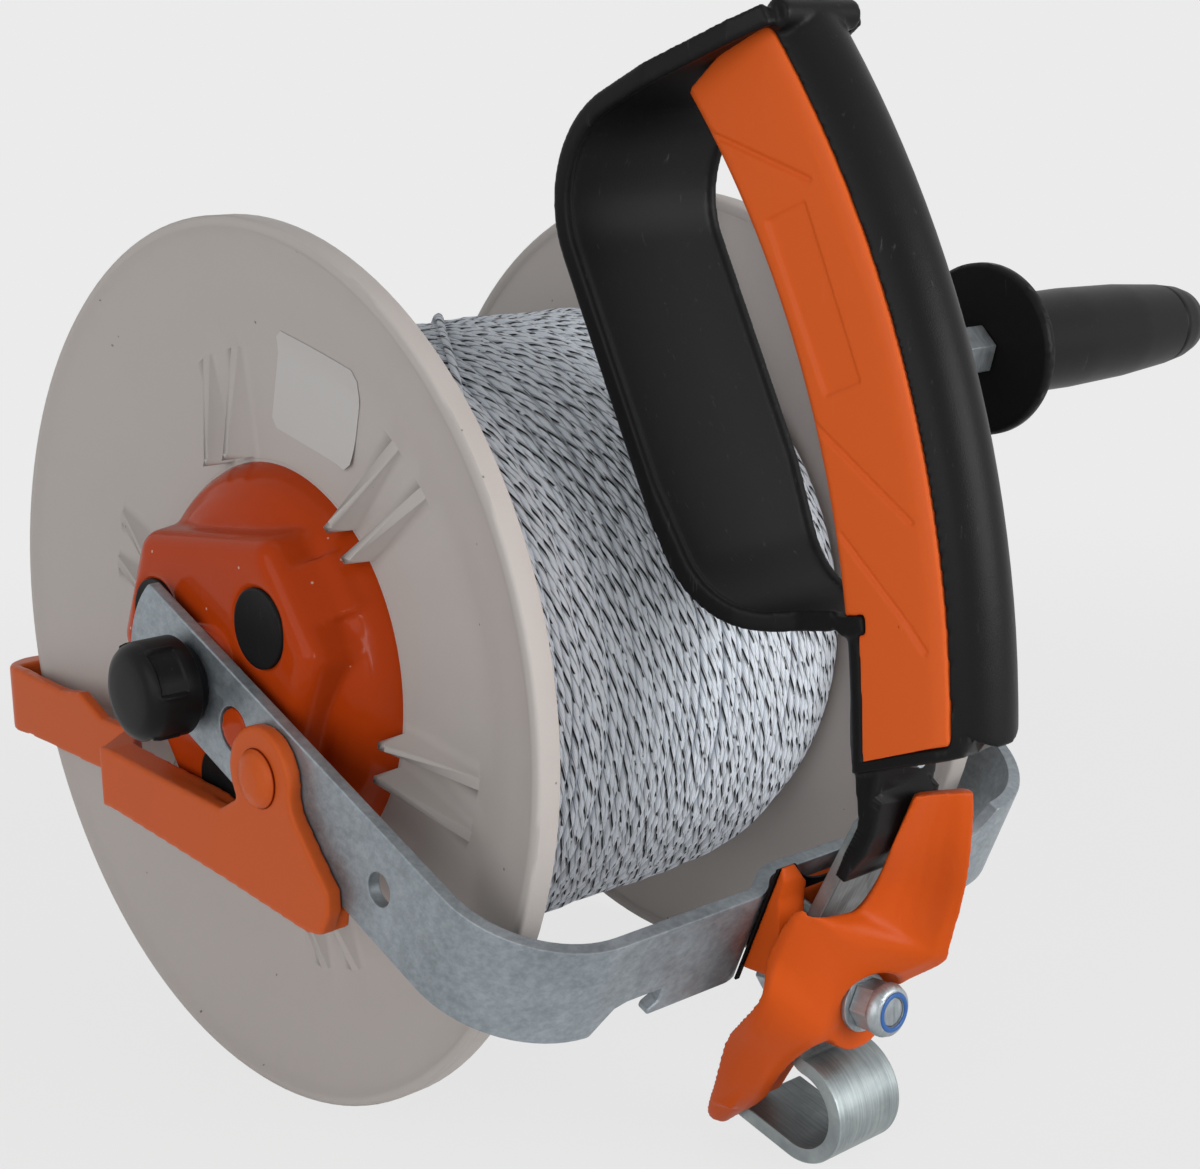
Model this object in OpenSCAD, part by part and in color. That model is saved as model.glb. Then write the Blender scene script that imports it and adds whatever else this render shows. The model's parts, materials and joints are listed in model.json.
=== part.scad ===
// Electric fence reel: a wire-filled spool in a flat-bar yoke, with a hook handle, a gear train in the near hub,
// a brake lever, a hook latch and a crank. Millimetres.

/* [Spool] */
// Radius of both flange rims
rim_r = 130; // [120:1:138]
// Distance from mid plane to the outer face of each flange web
web_x = 77; // [75:0.5:79]
// Thickness of the flange web
web_t = 3; // [2.5:0.1:3.5]
// How far each rim stands out past its web
rim_out = 12; // [10:0.5:13]
// Width of the rim band
rim_band = 8; // [6:0.5:10]
// Radius at which the web starts to flare
flare_r = 92; // [88:0.5:96]
// Gap between the gear housing and the flange hub
hub_gap = 4; // [3:0.1:5]
// Step from the hub hole to the outside of the drum
drum_step = 1.5; // [1:0.1:3]
// Thickness of the drum wall
drum_wall = 3; // [2.5:0.1:4]
// Number of gusset pairs on each flange
gusset_pairs = 6; // [4:1:8]
// Angle of the first gusset pair
gusset_turn = 16; // [0:1:60]
// Half angle between the two fins of a pair
gusset_half = 5; // [3:0.5:8]
// Height of a fin at the hub
gusset_h = 9.5; // [6:0.5:10]
// Thickness of a fin at its foot
gusset_t = 3.6; // [2:0.1:4]

/* [Wire] */
// Radius of the wound core under the outer layer
wound_r = 91.4; // [85:0.1:94]
// Diameter of the wire strand
wire_d = 2.5; // [2:0.1:3]
// Number of turns in the outer layer
wire_turns = 24; // [12:1:24]
// Distance from the near web to the first turn of the outer layer
wire_near = 7; // [5:0.5:12]
// Distance from the far web to the last turn of the outer layer
wire_far = 10; // [8:0.5:14]
// Length of the taper toward the far flange
taper_len = 29; // [20:0.5:36]
// Fall of the outer layer at its far end
taper_drop = 8; // [4:0.5:10]

/* [Yoke] */
// Downward slope of the arms toward the handle
arm_slope = 24.6; // [20:0.2:30]
// Width of the flat bar
strap_w = 31; // [29:0.5:33]
// Thickness of the flat bar
strap_t = 4; // [3.5:0.1:4.5]
// Gap between the housing's front face and the near arm
arm_gap = 3.5; // [3:0.1:5]
// Gap between the rims and the cross-bar
bar_gap = 18; // [16:0.5:22]
// Middle radius of the two large bends
yoke_bend_r = 32; // [26:1:38]
// How far the arms stick out past the axle
arm_end_r = 32; // [28:0.5:34]
// Depth of the pocket in the cross-bar
pocket_d = 6; // [4:0.5:7]
// Half width of the pocket floor
pocket_half = 13; // [12:0.5:15]
// Bend radius at the pocket
pocket_bend_r = 10; // [8:0.5:12]
// Half width of the cut under the pocket
pocket_cut = 22; // [20:0.5:24]
// Distance from axle to the peg hole
peg_at = 24; // [22:0.5:26]
// Radius of the peg
peg_r = 6.4; // [5:0.1:7]
// Distance from axle to the brake lever pin
lever_at = 45; // [43:0.5:48]
// Distance from the front of the cross-bar to the open hole in each arm
open_hole_back = 56; // [50:1:62]
// Radius of the open hole
open_hole_r = 4.6; // [4:0.1:5.5]

/* [Handle] */
// How far the foot of the grip lies in front of the cross-bar
grip_out = 25.8; // [24:0.2:28]
// Height of the centre of the grip curve above the cross-bar
grip_rise = 61.3; // [56:0.5:66]
// Radius of the grip's back
grip_back_r = 262; // [250:1:275]
// Depth of the grip
grip_depth = 41; // [36:0.5:44]
// Half width of the grip
grip_half = 14; // [12:0.5:16]
// Angle of the grip's lower end
grip_low = -1.5; // [-2:0.1:0]
// Angle of the grip's upper end
grip_high = 38; // [34:0.5:40]
// Depth of an inlay
inlay_d = 3; // [2:0.1:4]
// Width of an inlay along the grip's depth
inlay_w = 33; // [28:0.5:35]
// Half width of the guard band
guard_half = 29; // [24:0.5:32]
// Thickness of the guard band
guard_t = 3.4; // [3:0.1:4]

/* [Hook] */
// How much narrower the hook bar is than the grip, on each side
hook_inset = 1.5; // [1:0.1:2.5]
// Thickness of the hook bar
hook_t = 4.5; // [4:0.1:5]
// Distance from the front of the cross-bar to the middle of the hook bar
hook_gap = 8; // [7.5:0.1:9]
// How far the bar's upright part lies behind that distance
hook_foot = 3.2; // [2.5:0.1:4]
// How far the hook loop lies in front of the upright part
hook_loop_out = 2.5; // [2:0.1:4]
// Depth of the centre of the hook loop below the cross-bar
hook_drop = 51.2; // [48:0.2:52]
// Middle radius of the hook loop
hook_loop_r = 13.2; // [12:0.1:14]
// Rise of the hook's tip
hook_tip_rise = 15.5; // [10:0.5:20]
// Length of the hook's tip
hook_tip = 20; // [16:0.5:22]

/* [Latch] */
// Depth of the latch bolt below the cross-bar
bolt_drop = 19.2; // [18:0.2:21]
// Radius of the latch bolt
bolt_r = 4; // [3.5:0.1:4.5]
// Radius of the latch hub
latch_hub_r = 14; // [13:0.5:15]

/* [Gears] */
// Tooth size
gear_module = 2.1; // [2.05:0.01:2.15]
// Width of the gears
gear_w = 12; // [10:0.5:12]
// Play between teeth
gear_play = 0.3; // [0.2:0.02:0.4]
// Wall of the ring gear outside its teeth
ring_wall = 4.4; // [3:0.1:6]
// Radius of the drive shaft
shaft_r = 6; // [5:0.1:6.5]

/* [Housing] */
// Distance from the flange web to the housing's front face
housing_rise = 24; // [23:0.5:26]
// Wall of the housing's round base round the ring gear
dome_wall = 7.5; // [6:0.1:9]
// Distance from the planets' middle to the long flats
flat_long_out = 8.5; // [8:0.1:10]
// Distance from the planets' middle to the short flats
flat_short_out = 18.5; // [17:0.1:20]
// Radius of the black plugs
plug_r = 11.4; // [10:0.1:12]

/* [Lever and knob] */
// Thickness of the lever plate
lever_t = 4.5; // [4:0.1:5]
// Radius of the lever's ear
lever_ear_r = 14.5; // [13:0.5:16]
// Radius of the lever pin
lever_pin_r = 5; // [4:0.1:5.5]
// How far the lever's clip reaches past the rim
clip_out = 13.2; // [12:0.2:16]
// Gap between the rim and the lever's clip
brake_gap = 6; // [5.5:0.1:7]
// Radius of the drag knob
knob_r = 12.8; // [11.5:0.1:13.5]
// Length of the drag knob
knob_len = 15; // [13:0.5:17]

/* [Crank] */
// Angle of the crank
crank_turn = 136.8; // [0:0.1:360]
// Radius of the crank
crank_r = 112.5; // [100:0.5:120]
// Gap between the far arm and the crank arm
crank_gap = 5.7; // [4:0.1:8]
// Thickness of the crank arm
crank_t = 6; // [5:0.5:7]
// Half width of the crank arm
crank_half = 13; // [11:0.5:15]
// Distance from the crank arm to the guard disc
disc_gap = 22.8; // [18:0.2:30]
// Radius of the guard disc
disc_r = 28; // [25:0.5:30]
// Length of the grip with its cap
grip_len = 119; // [100:1:130]
// Length of the cap
cap_len = 19; // [16:0.5:22]
// Greatest radius of the grip
grip_r = 16.8; // [15:0.1:18]
// Radius of the crank pin
crank_pin_r = 5; // [4:0.1:6]

/* [Hidden] */
$fn = 64;

orange = [0.85, 0.34, 0.12];
black = [0.1, 0.1, 0.1];
zinc = [0.62, 0.65, 0.67];
grey = [0.75, 0.73, 0.7];
white = [0.88, 0.9, 0.93];

// gap of a turning fit, gap of a seated fit, and how far a cut runs past a face
run_gap = 0.06;
seat_gap = 0.05;
past = 1;

// a point of the side plane given along and across the arms
function arm_point(along, across) = [-cos(arm_slope) * along - sin(arm_slope) * across,
  -sin(arm_slope) * along + cos(arm_slope) * across];

// spool
web_in = web_x - web_t;
rim_x = web_x + rim_out;
rim_in = rim_x - rim_band;

// yoke
housing_x = web_x + housing_rise;
arm_x = housing_x + arm_gap + strap_t;
arm_mid = arm_x - strap_t / 2;
arm_in = arm_x - strap_t;
bar_front = rim_r + bar_gap + strap_t;
bar_at = arm_point(bar_front, 0);
bar_back = strap_t + pocket_d;
pocket_bend = acos(1 - pocket_d / (2 * pocket_bend_r));
lever_pivot = arm_point(lever_at, 0);
bush_r = shaft_r + 2;
far_bush_r = shaft_r + 3;

// crank and knob
crank_x = arm_x + crank_gap;
crank_out = crank_x + crank_t;
disc_x = crank_out + disc_gap;
grip_split = disc_x + grip_len - cap_len;
grip_end = disc_x + grip_len;
knob_from = -arm_x - 0.7;
knob_floor = knob_from - knob_len + 4.5;

// the middle of the whole reel, from the axle
clip_end = rim_r + clip_out;
mid_x = (grip_end - knob_len + knob_from) / 2;
mid_y = (clip_end + bar_at[0] - grip_out - grip_depth) / 2;

// hook bar, from the middle of the cross-bar's front
hook_w = 2 * (grip_half - hook_inset);
hook_kink_w = 46;
hook_upper_turn = 30;
hook_kink_r = 8;
hook_lower_r = 15;
hook_s_r = 6;
hook_upper_len = 46;
hook_bar_y = hook_foot - hook_gap;
hook_loop = [hook_bar_y - hook_loop_out, -hook_drop];
hook_kink = arm_point(hook_gap, hook_kink_w);
hook_foot_z = (-hook_bar_y * cos(arm_slope) - hook_gap) / sin(arm_slope);
hook_lean = norm(hook_kink - [hook_bar_y, hook_foot_z]);
hook_s_dy = hook_s_r - hook_loop_out;
hook_s_z = hook_loop[1] + sqrt(pow(hook_s_r + hook_loop_r, 2) - pow(hook_s_dy, 2));
hook_s_turn = 90 - asin(hook_s_dy / (hook_s_r + hook_loop_r));
hook_top_heading = arm_slope - 90 - hook_upper_turn;
hook_start = hook_kink - hook_upper_len * [cos(hook_top_heading), sin(hook_top_heading)];
hook_moves = [[hook_upper_len - tangent(hook_kink_r, hook_upper_turn)], [hook_kink_r, hook_upper_turn],
  [hook_lean - tangent(hook_kink_r, hook_upper_turn) - tangent(hook_lower_r, arm_slope)],
  [hook_lower_r, -arm_slope], [hook_foot_z - hook_s_z - tangent(hook_lower_r, arm_slope)],
  [hook_s_r, -hook_s_turn], [hook_loop_r, hook_s_turn + 90 + hook_tip_rise], [hook_tip]];
hook_tip_end = hook_loop + hook_loop_r * [sin(hook_tip_rise), -cos(hook_tip_rise)]
  + hook_tip * [cos(hook_tip_rise), sin(hook_tip_rise)];

// gears
sun_teeth = 20;
planet_teeth = 10;
ring_teeth = 40;
pressure = 25;
tooth_out = 0.8;
tooth_in = 1.0;
planet_at = gear_module * (sun_teeth + planet_teeth) / 2;
planet_pin_r = 3.5;
ring_out_r = gear_module * ring_teeth / 2 + gear_module * tooth_in + ring_wall;
sun_tip_r = gear_module * (sun_teeth / 2 + tooth_out);
sun_hub_r = far_bush_r + 6;
gear_front = -web_x - 1;
gear_back = gear_front + gear_w;

// gear housing, from front to back
carrier_r = planet_at + 5;
carrier_back = gear_front - 1.6;
carrier_front = carrier_back - 6.4;
carrier_hub = carrier_front - 4;
carrier_hub_r = shaft_r + 6;
cavity_front = carrier_hub - 2;
cover_front = gear_back + 0.5;
cover_back = cover_front + 3.2;
dome_r = ring_out_r + dome_wall;
dome_back = cover_back + 0.3;
plug_depth = 2.5;
flat_long = planet_at + flat_long_out;
flat_short = planet_at + flat_short_out;

// drum
hub_hole_r = dome_r + hub_gap;
drum_r = hub_hole_r + drum_step;
drum_bore_r = drum_r - drum_wall;
drum_end = web_in - 16;
drum_end_t = 3.5;

function tangent(r, turn) = r * tan(abs(turn) / 2);
function involute(a) = tan(a) * 180 / PI - a;
function base_r(teeth) = gear_module * teeth / 2 * cos(pressure);
function half_tooth(teeth, r, extra) = 90 / teeth + extra / (gear_module * teeth) * 180 / PI
  + involute(pressure) - involute(acos(min(1, base_r(teeth) / r)));
function gear_outline(teeth, out, in, extra) =
  let(pitch_r = gear_module * teeth / 2, tip = pitch_r + gear_module * out, root = pitch_r - gear_module * in,
      low = max(root, base_r(teeth)), radii = [root, low + 0.1, (low + tip) / 2, tip])
  [for (t = [0:teeth - 1], s = [0:7])
    let(k = s < 4 ? s : 7 - s, side = s < 4 ? -1 : 1,
        a = t * 360 / teeth + side * half_tooth(teeth, max(radii[k], low), extra))
    radii[k] * [cos(a), sin(a)]];
function planet_phase(k) = k * 120 + 180 + (0.5 + k * 120 * sun_teeth / 360) * 360 / planet_teeth;

// wire
loop_rings = 24;
tube_sides = 6;
wire_from = wire_near - web_in;
wire_to = web_in - wire_far;
taper_from = web_in - taper_len;
function layer_r(x) = wound_r / cos(180 / loop_rings) + wire_d / 2 + 0.25
  - (x < taper_from ? 0 : taper_drop * (x - taper_from) / taper_len);
function wire_x(i) = wire_from + (wire_to - wire_from) * i / (wire_turns * loop_rings);
function wire_mid(i) = let(a = i * 360 / loop_rings, r = layer_r(wire_x(i))) [wire_x(i), r * cos(a), r * sin(a)];
wire_rings = wire_turns * loop_rings;
wire_path = concat([wire_mid(0) - wire_d * [0, 0, 1]], [for (i = [0:wire_rings]) wire_mid(i)],
  [wire_mid(wire_rings) + wire_d * [0, 0, 1]]);
wire_gap = min([for (i = [0:wire_rings - loop_rings]) norm(wire_mid(i + loop_rings) - wire_mid(i))]) - wire_d;
echo(wire_gap = wire_gap);

module stand() {
  translate([-mid_x, -mid_y, rim_r]) children();
}

// turned so that minus Y runs along the arms to the cross-bar
module on_arm() {
  rotate([arm_slope, 0, 0]) children();
}

// moved to the middle of the cross-bar's front face
module at_bar() {
  translate([0, bar_at[0], bar_at[1]]) children();
}

// moved to where the latch bolt crosses the hook bar
module at_bolt() {
  at_bar() translate([0, hook_bar_y, -bolt_drop]) children();
}

module rod(x0, x1, r) {
  translate([x0, 0, 0]) rotate([0, 90, 0]) cylinder(h = x1 - x0, r = r);
}

// a rod from front to back
module deep_rod(y0, y1, r) {
  translate([0, y1, 0]) rotate([90, 0, 0]) cylinder(h = y1 - y0, r = r);
}

module rod_hex(x0, x1, r) {
  translate([x0, 0, 0]) rotate([0, 90, 0]) cylinder(h = x1 - x0, r = r, $fn = 6);
}

// a closed outline of radius and X, turned round the axle
module turned(outline) {
  rotate([0, 90, 0]) rotate_extrude($fn = 128) polygon(outline);
}

// a flat outline of Y and Z, given thickness along X
module plate(x0, x1) {
  translate([x0, 0, 0]) rotate([90, 0, 90]) linear_extrude(x1 - x0) children();
}

module side_at(p, heading) {
  rotate([90, 0, 90]) translate([p[0], p[1], 0]) rotate([0, 0, heading]) children();
}

// a flat strip that follows straight runs and bends
bend_step = 5;
function moved(p, m) = len(m) == 1 ? [p[0] + m[0] * cos(p[2]), p[1] + m[0] * sin(p[2]), p[2]]
  : let(s = sign(m[1]), h = p[2] + m[1])
    [p[0] + s * m[0] * (sin(h) - sin(p[2])), p[1] - s * m[0] * (cos(h) - cos(p[2])), h];
function poses(moves, p = [0, 0, 0], i = 0) = i == len(moves) ? [p]
  : let(m = moves[i], n = len(m) == 1 ? 1 : ceil(abs(m[1]) / bend_step))
    concat([p], [for (k = [1:1:n - 1]) moved(p, [m[0], m[1] * k / n])], poses(moves, moved(p, m), i + 1));
function strip_outline(moves, thick) = let(run = poses(moves), last = len(run) - 1)
  [for (k = [0:2 * last + 1])
    let(p = run[k <= last ? k : 2 * last + 1 - k], side = k <= last ? 0.5 : -0.5)
    [p[0] - side * thick * sin(p[2]), p[1] + side * thick * cos(p[2])]];

module bent_strip(moves, thick, wide) {
  linear_extrude(wide, center = true) polygon(strip_outline(moves, thick));
}

// faces of a tube made of rings of points
function tube_faces(count, sides) = concat(
  [for (k = [1:sides - 2]) [0, k, k + 1]],
  [for (i = [0:count - 1], k = [0:sides - 1], h = [0, 1])
    let(a = i * sides + k, b = i * sides + (k + 1) % sides)
    h == 0 ? [a, a + sides, b] : [b, a + sides, b + sides]],
  [for (k = [1:sides - 2]) [count * sides, count * sides + k + 1, count * sides + k]]);

// a coil as one unbroken tube round the Z axis
module coil(r, wire, pitch, turns, rings) {
  count = round(turns * rings);
  path = [for (i = [0:count]) let(a = i * 360 / rings) [r * cos(a), r * sin(a), pitch * i / rings]];
  points = [for (i = [0:count], k = [0:tube_sides - 1])
    let(a = i * 360 / rings, b = k * 360 / tube_sides)
    path[i] + wire / 2 * [cos(b) * cos(a), cos(b) * sin(a), sin(b)]];
  polyhedron(points, tube_faces(count, tube_sides));
}

module both_sides() {
  children();
  mirror([1, 0, 0]) children();
}

module yoke_strip() {
  run = arm_mid - yoke_bend_r - pocket_half - 2 * pocket_bend_r * sin(pocket_bend);
  arm = [bar_front - strap_t / 2 - yoke_bend_r + arm_end_r];
  moves = [arm, [yoke_bend_r, 90], [run], [pocket_bend_r, pocket_bend], [pocket_bend_r, -pocket_bend],
    [2 * pocket_half], [pocket_bend_r, -pocket_bend], [pocket_bend_r, pocket_bend], [run], [yoke_bend_r, 90], arm];
  translate([-arm_mid, arm_end_r, 0]) rotate([0, 0, -90]) bent_strip(moves, strap_t, strap_w);
}

// rounds the free ends of the arms
module arm_tip_cut() {
  difference() {
    translate([-arm_x - past, 0, -strap_w]) cube([2 * (arm_x + past), arm_end_r + past, 2 * strap_w]);
    rod(-arm_x - 2 * past, arm_x + 2 * past, arm_end_r);
  }
}

// the cut in the lower edge, with a slanted start and a tooth at its end
module edge_notch() {
  low = -strap_w / 2;
  tooth = yoke_bend_r - arm_mid;
  translate([0, strap_t + past, 0]) rotate([90, 0, 0]) linear_extrude(strap_t + 2 * past)
    polygon([[tooth - 2.5, low - past], [tooth + 0.5, low + 3], [tooth + 4.5, low + 7.5], [tooth + 8.5, low + 8.5],
      [tooth + 21.5, low + 8.5], [tooth + 21.5, low + 4], [tooth + 18.5, low + 2], [tooth + 18.5, low - past]]);
}

// the part of the cross-bar that is cut away under the pocket
module pocket_opening() {
  translate([-pocket_cut, -past - hook_gap, -strap_w])
    cube([2 * pocket_cut, hook_gap + bar_back + 2 * past, strap_w - 5]);
}

module yoke_frame() {
  color(zinc) stand() difference() {
    on_arm() yoke_strip();
    on_arm() arm_tip_cut();
    at_bar() on_arm() edge_notch();
    at_bar() on_arm() rotate([0, 180, 0]) edge_notch();
    at_bar() on_arm() pocket_opening();
    on_arm() rod(-arm_x - past, 0, bush_r + run_gap);
    on_arm() rod(0, arm_x + past, far_bush_r + run_gap);
    on_arm() translate([0, -peg_at, 0]) rod(-arm_x - past, 0, peg_r + 0.3);
    on_arm() translate([0, -lever_at, 0]) rod(-arm_x - past, 0, lever_pin_r + run_gap);
    on_arm() translate([0, open_hole_back - bar_front, 0]) rod(-arm_x - past, arm_x + past, open_hole_r);
    at_bar() for (x = rivet_x) rivet_hole(x);
  }
}

rivet_x = [-7, 7];
rivet_r = 3;
rivet_w = 6;

module rivet_hole(x) {
  on_arm() translate([x, 0, rivet_w]) deep_rod(-hook_gap - hook_t, bar_back + past, rivet_r + seat_gap);
}

module frame_rivets() {
  color(zinc) stand() at_bar() on_arm() for (x = rivet_x) translate([x, 0, rivet_w]) {
    deep_rod(-hook_gap - hook_t / 2, bar_back, rivet_r);
    deep_rod(bar_back, bar_back + 2, rivet_r + 2);
  }
}

module hook_strip(thick, wide) {
  side_at(hook_start, hook_top_heading) bent_strip(hook_moves, thick, wide);
}

module hook_bar() {
  color(zinc) stand() difference() {
    at_bar() hook_strip(hook_t, hook_w);
    at_bar() translate([0, hook_loop[0], hook_loop[1]]) rod(-hook_w, hook_w, hook_loop_r - hook_t / 2 + seat_gap);
    at_bolt() deep_rod(-hook_t, hook_t, bolt_r + seat_gap);
    at_bar() for (x = rivet_x) rivet_hole(x);
    at_bar() for (up = screw_up) screw_at(up) deep_rod(-hook_t, hook_t, screw_r + seat_gap);
  }
}

// distances of the two screws above the bend in the hook bar
screw_up = [17, 33];
screw_r = 2.5;
screw_len = 9;

// square to the upper part of the hook bar
module screw_at(up) {
  side_at(hook_kink, hook_top_heading) translate([-up, 0, 0]) children();
}

module handle_screws() {
  seat = hook_t / 2 + seat_gap;
  color(zinc) stand() at_bar() for (up = screw_up) screw_at(up) {
    deep_rod(-screw_len, seat + past, screw_r);
    deep_rod(seat, seat + 3, screw_r + 2);
  }
}

// grip, from the middle of the cross-bar's front
grip_front_r = grip_back_r + grip_depth;
grip_at = [grip_back_r - grip_out, grip_rise];
inlay_front_r = grip_back_r + inlay_w;
inlay_split = 6.5;
inlay_low = 1;

// the guard band, from the lip over the top, down behind the hand and forward into the grip
guard_heading = -22.4;
guard_over = 52;
guard_top_bend = [29.6, -92.8];
guard_low_bend = [26.6, -73.4];
guard_lip = grip_high - 0.97;
guard_start = grip_at + (grip_front_r - 3.6) * [-cos(guard_lip), sin(guard_lip)];
guard_stop = [-grip_out - 6.6, grip_rise + 30.1];
guard_fall_h = guard_heading + guard_top_bend[1];
guard_last_h = guard_fall_h + guard_low_bend[1];
guard_corner = moved(moved([guard_start[0], guard_start[1], guard_heading], [guard_over]), guard_top_bend);
guard_turn = moved([0, 0, guard_fall_h], guard_low_bend);
guard_rest = guard_stop - [guard_corner[0] + guard_turn[0], guard_corner[1] + guard_turn[1]];
guard_square = sin(guard_last_h - guard_fall_h);
guard_fall = (guard_rest[0] * sin(guard_last_h) - guard_rest[1] * cos(guard_last_h)) / guard_square;
guard_last = (guard_rest[1] * cos(guard_fall_h) - guard_rest[0] * sin(guard_fall_h)) / guard_square;
guard_moves = [[guard_over], guard_top_bend, [guard_fall], guard_low_bend, [guard_last]];
guard_room = 400;
rib_h = 1.1;
rib_w = 2.6;

module guard_outline(inset) {
  wide = guard_half - inset;
  mid = guard_half - 7 - inset;
  slim = grip_half + 1 - inset;
  far = grip_back_r;
  near = -grip_out - grip_depth;
  polygon([[-wide, far], [wide, far], [wide, 56 - grip_out], [mid, 32 - grip_out], [slim, 16 - grip_out],
    [slim, near], [-slim, near], [-slim, 16 - grip_out], [-mid, 32 - grip_out], [-wide, 56 - grip_out]]);
}

module guard_strip(thick) {
  side_at(guard_start, guard_heading) bent_strip(guard_moves, thick, 2 * guard_half);
}

module guard_band(thick) {
  intersection() {
    guard_strip(thick);
    linear_extrude(guard_room) guard_outline(0);
  }
}

// raised edges along both sides of the guard, as far as the grip
module guard_ribs() {
  intersection() {
    guard_strip(guard_t + 2 * rib_h);
    linear_extrude(guard_room) difference() {
      guard_outline(0);
      guard_outline(rib_w);
      translate([-guard_half, -grip_out - grip_depth - past]) square([2 * guard_half, grip_depth + past + 4]);
    }
  }
}

// the end of the guard that lies in the grip
module guard_tail(extra) {
  intersection() {
    guard_band(guard_t + 2 * extra);
    plate(-guard_half, guard_half) translate([-grip_out - 20, grip_rise + 10]) square([22, 40]);
  }
}

module grip_section(extra) {
  soft = 4;
  front = grip_front_r - grip_half;
  translate([grip_back_r + soft, -grip_half - extra])
    square([grip_depth - soft - grip_half, 2 * (grip_half + extra)]);
  translate([grip_back_r - extra, -grip_half + soft]) square([grip_depth - grip_half, 2 * (grip_half - soft)]);
  translate([front, 0]) circle(grip_half + extra);
  for (s = [-1, 1]) translate([grip_back_r + soft, s * (grip_half - soft)]) circle(soft + extra);
}

module grip_sweep(low, high) {
  side_at(grip_at, 180 - high) rotate_extrude(angle = high - low, $fn = 360) children();
}

// the sloped lower end of the grip
module grip_foot_cut() {
  back = 14 - grip_out;
  front = -grip_out - grip_depth - 7;
  plate(-grip_half - past, grip_half + past) polygon([[back, grip_rise - 13.8], [front, grip_rise + 10],
    [front, grip_rise - 38], [back, grip_rise - 38]]);
}

module inlay_region(extra) {
  side = grip_half - inlay_d - extra;
  back = grip_back_r + 6 - extra;
  difference() {
    union() {
      grip_sweep(inlay_low - extra / 4, grip_high) intersection() {
        grip_section(0.25);
        translate([back, side]) square([inlay_front_r + extra - back, 2 * inlay_d]);
      }
      grip_sweep(inlay_split, grip_high) intersection() {
        grip_section(0.25);
        translate([grip_back_r - 1, side]) square([inlay_w / 2, 2 * inlay_d]);
      }
    }
    grip_foot_cut();
  }
}

// a point of an inlay's face, by its angle and its share of the inlay's width from the back
function inlay_point(angle, share) = grip_at
  + (grip_back_r + share * inlay_w) * [-cos(angle), sin(angle)];

// a groove across the face, from one angle and share to another
module inlay_groove(from, to) {
  a = inlay_point(from[0], from[1]);
  run = inlay_point(to[0], to[1]) - a;
  side_at(a, atan2(run[1], run[0])) translate([0, -0.9, 0]) cube([norm(run), 1.8, 2]);
}

// three slanted grooves and a bare panel on the outer face of an inlay
module inlay_marks() {
  translate([grip_half - 0.6, 0, 0]) {
    inlay_groove([35.3, 0.02], [29.1, 0.76]);
    inlay_groove([17.5, 0.04], [11.3, 0.84]);
    inlay_groove([11.3, 0.09], [5.1, 0.85]);
    plate(0, 2) polygon([inlay_point(28.9, 0.19), inlay_point(28.5, 0.63), inlay_point(18.7, 0.61),
      inlay_point(18.6, 0.22)]);
  }
}

module handle_inlay() {
  difference() {
    inlay_region(0);
    inlay_marks();
    guard_tail(seat_gap);
  }
}

module handle_inlay_right() {
  color(orange) stand() at_bar() handle_inlay();
}

module handle_inlay_left() {
  color(orange) stand() at_bar() mirror([1, 0, 0]) handle_inlay();
}

// the foot of the handle on the front of the hook bar
module handle_tang() {
  front = hook_gap + 6;
  plate(-hook_w / 2, hook_w / 2) polygon([arm_point(hook_gap, 27), arm_point(front, 27), arm_point(front, 45),
    [-grip_out - 10, grip_rise - 4], [-grip_out - 12, grip_rise + 8], [-grip_out - 1, grip_rise + 24],
    [1 - grip_out, grip_rise + 2], arm_point(hook_gap, hook_kink_w)]);
}

module handle_core() {
  color(black) stand() at_bar() difference() {
    union() {
      difference() {
        union() {
          difference() {
            grip_sweep(grip_low, grip_high) grip_section(0);
            grip_foot_cut();
          }
          handle_tang();
          guard_band(guard_t);
          guard_ribs();
          translate([0, guard_start[0], guard_start[1]]) rod(-grip_half, grip_half, 4);
        }
        both_sides() inlay_region(seat_gap);
      }
      guard_tail(0);
    }
    hook_strip(hook_t + 2 * seat_gap, hook_w + 2 * seat_gap);
    for (up = screw_up) screw_at(up) deep_rod(-screw_len - seat_gap, hook_t / 2 + 4, screw_r + seat_gap);
    for (up = screw_up) screw_at(up) deep_rod(hook_t / 2, hook_t / 2 + 4, screw_r + 2 + seat_gap);
  }
}

// latch, from where the bolt crosses the hook bar
head_back = 13;
latch_back = -6;
latch_front = -14.5;
boss_r = bolt_r + 4.5;
boss_front = hook_t / 2 + seat_gap;
washer_t = 1.6;
washer_r = bolt_r + 4.4;
nut_r = bolt_r + 3.5;
nut_len = 5.8;
nut_end = 4.2;
nut_back = latch_front - washer_t - seat_gap;
nut_front = nut_back - nut_len;
spring_room = 4.6;

// saddle, from the middle of the cross-bar's front
gasket_t = 0.8;
saddle_half = 23;
saddle_front = hook_bar_y + latch_back + 0.4;
saddle_low = -9.5;
saddle_top = 26;
saddle_back = gasket_t + seat_gap;
saddle_dip_r = 20;
saddle_dip_w = 35;

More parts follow.
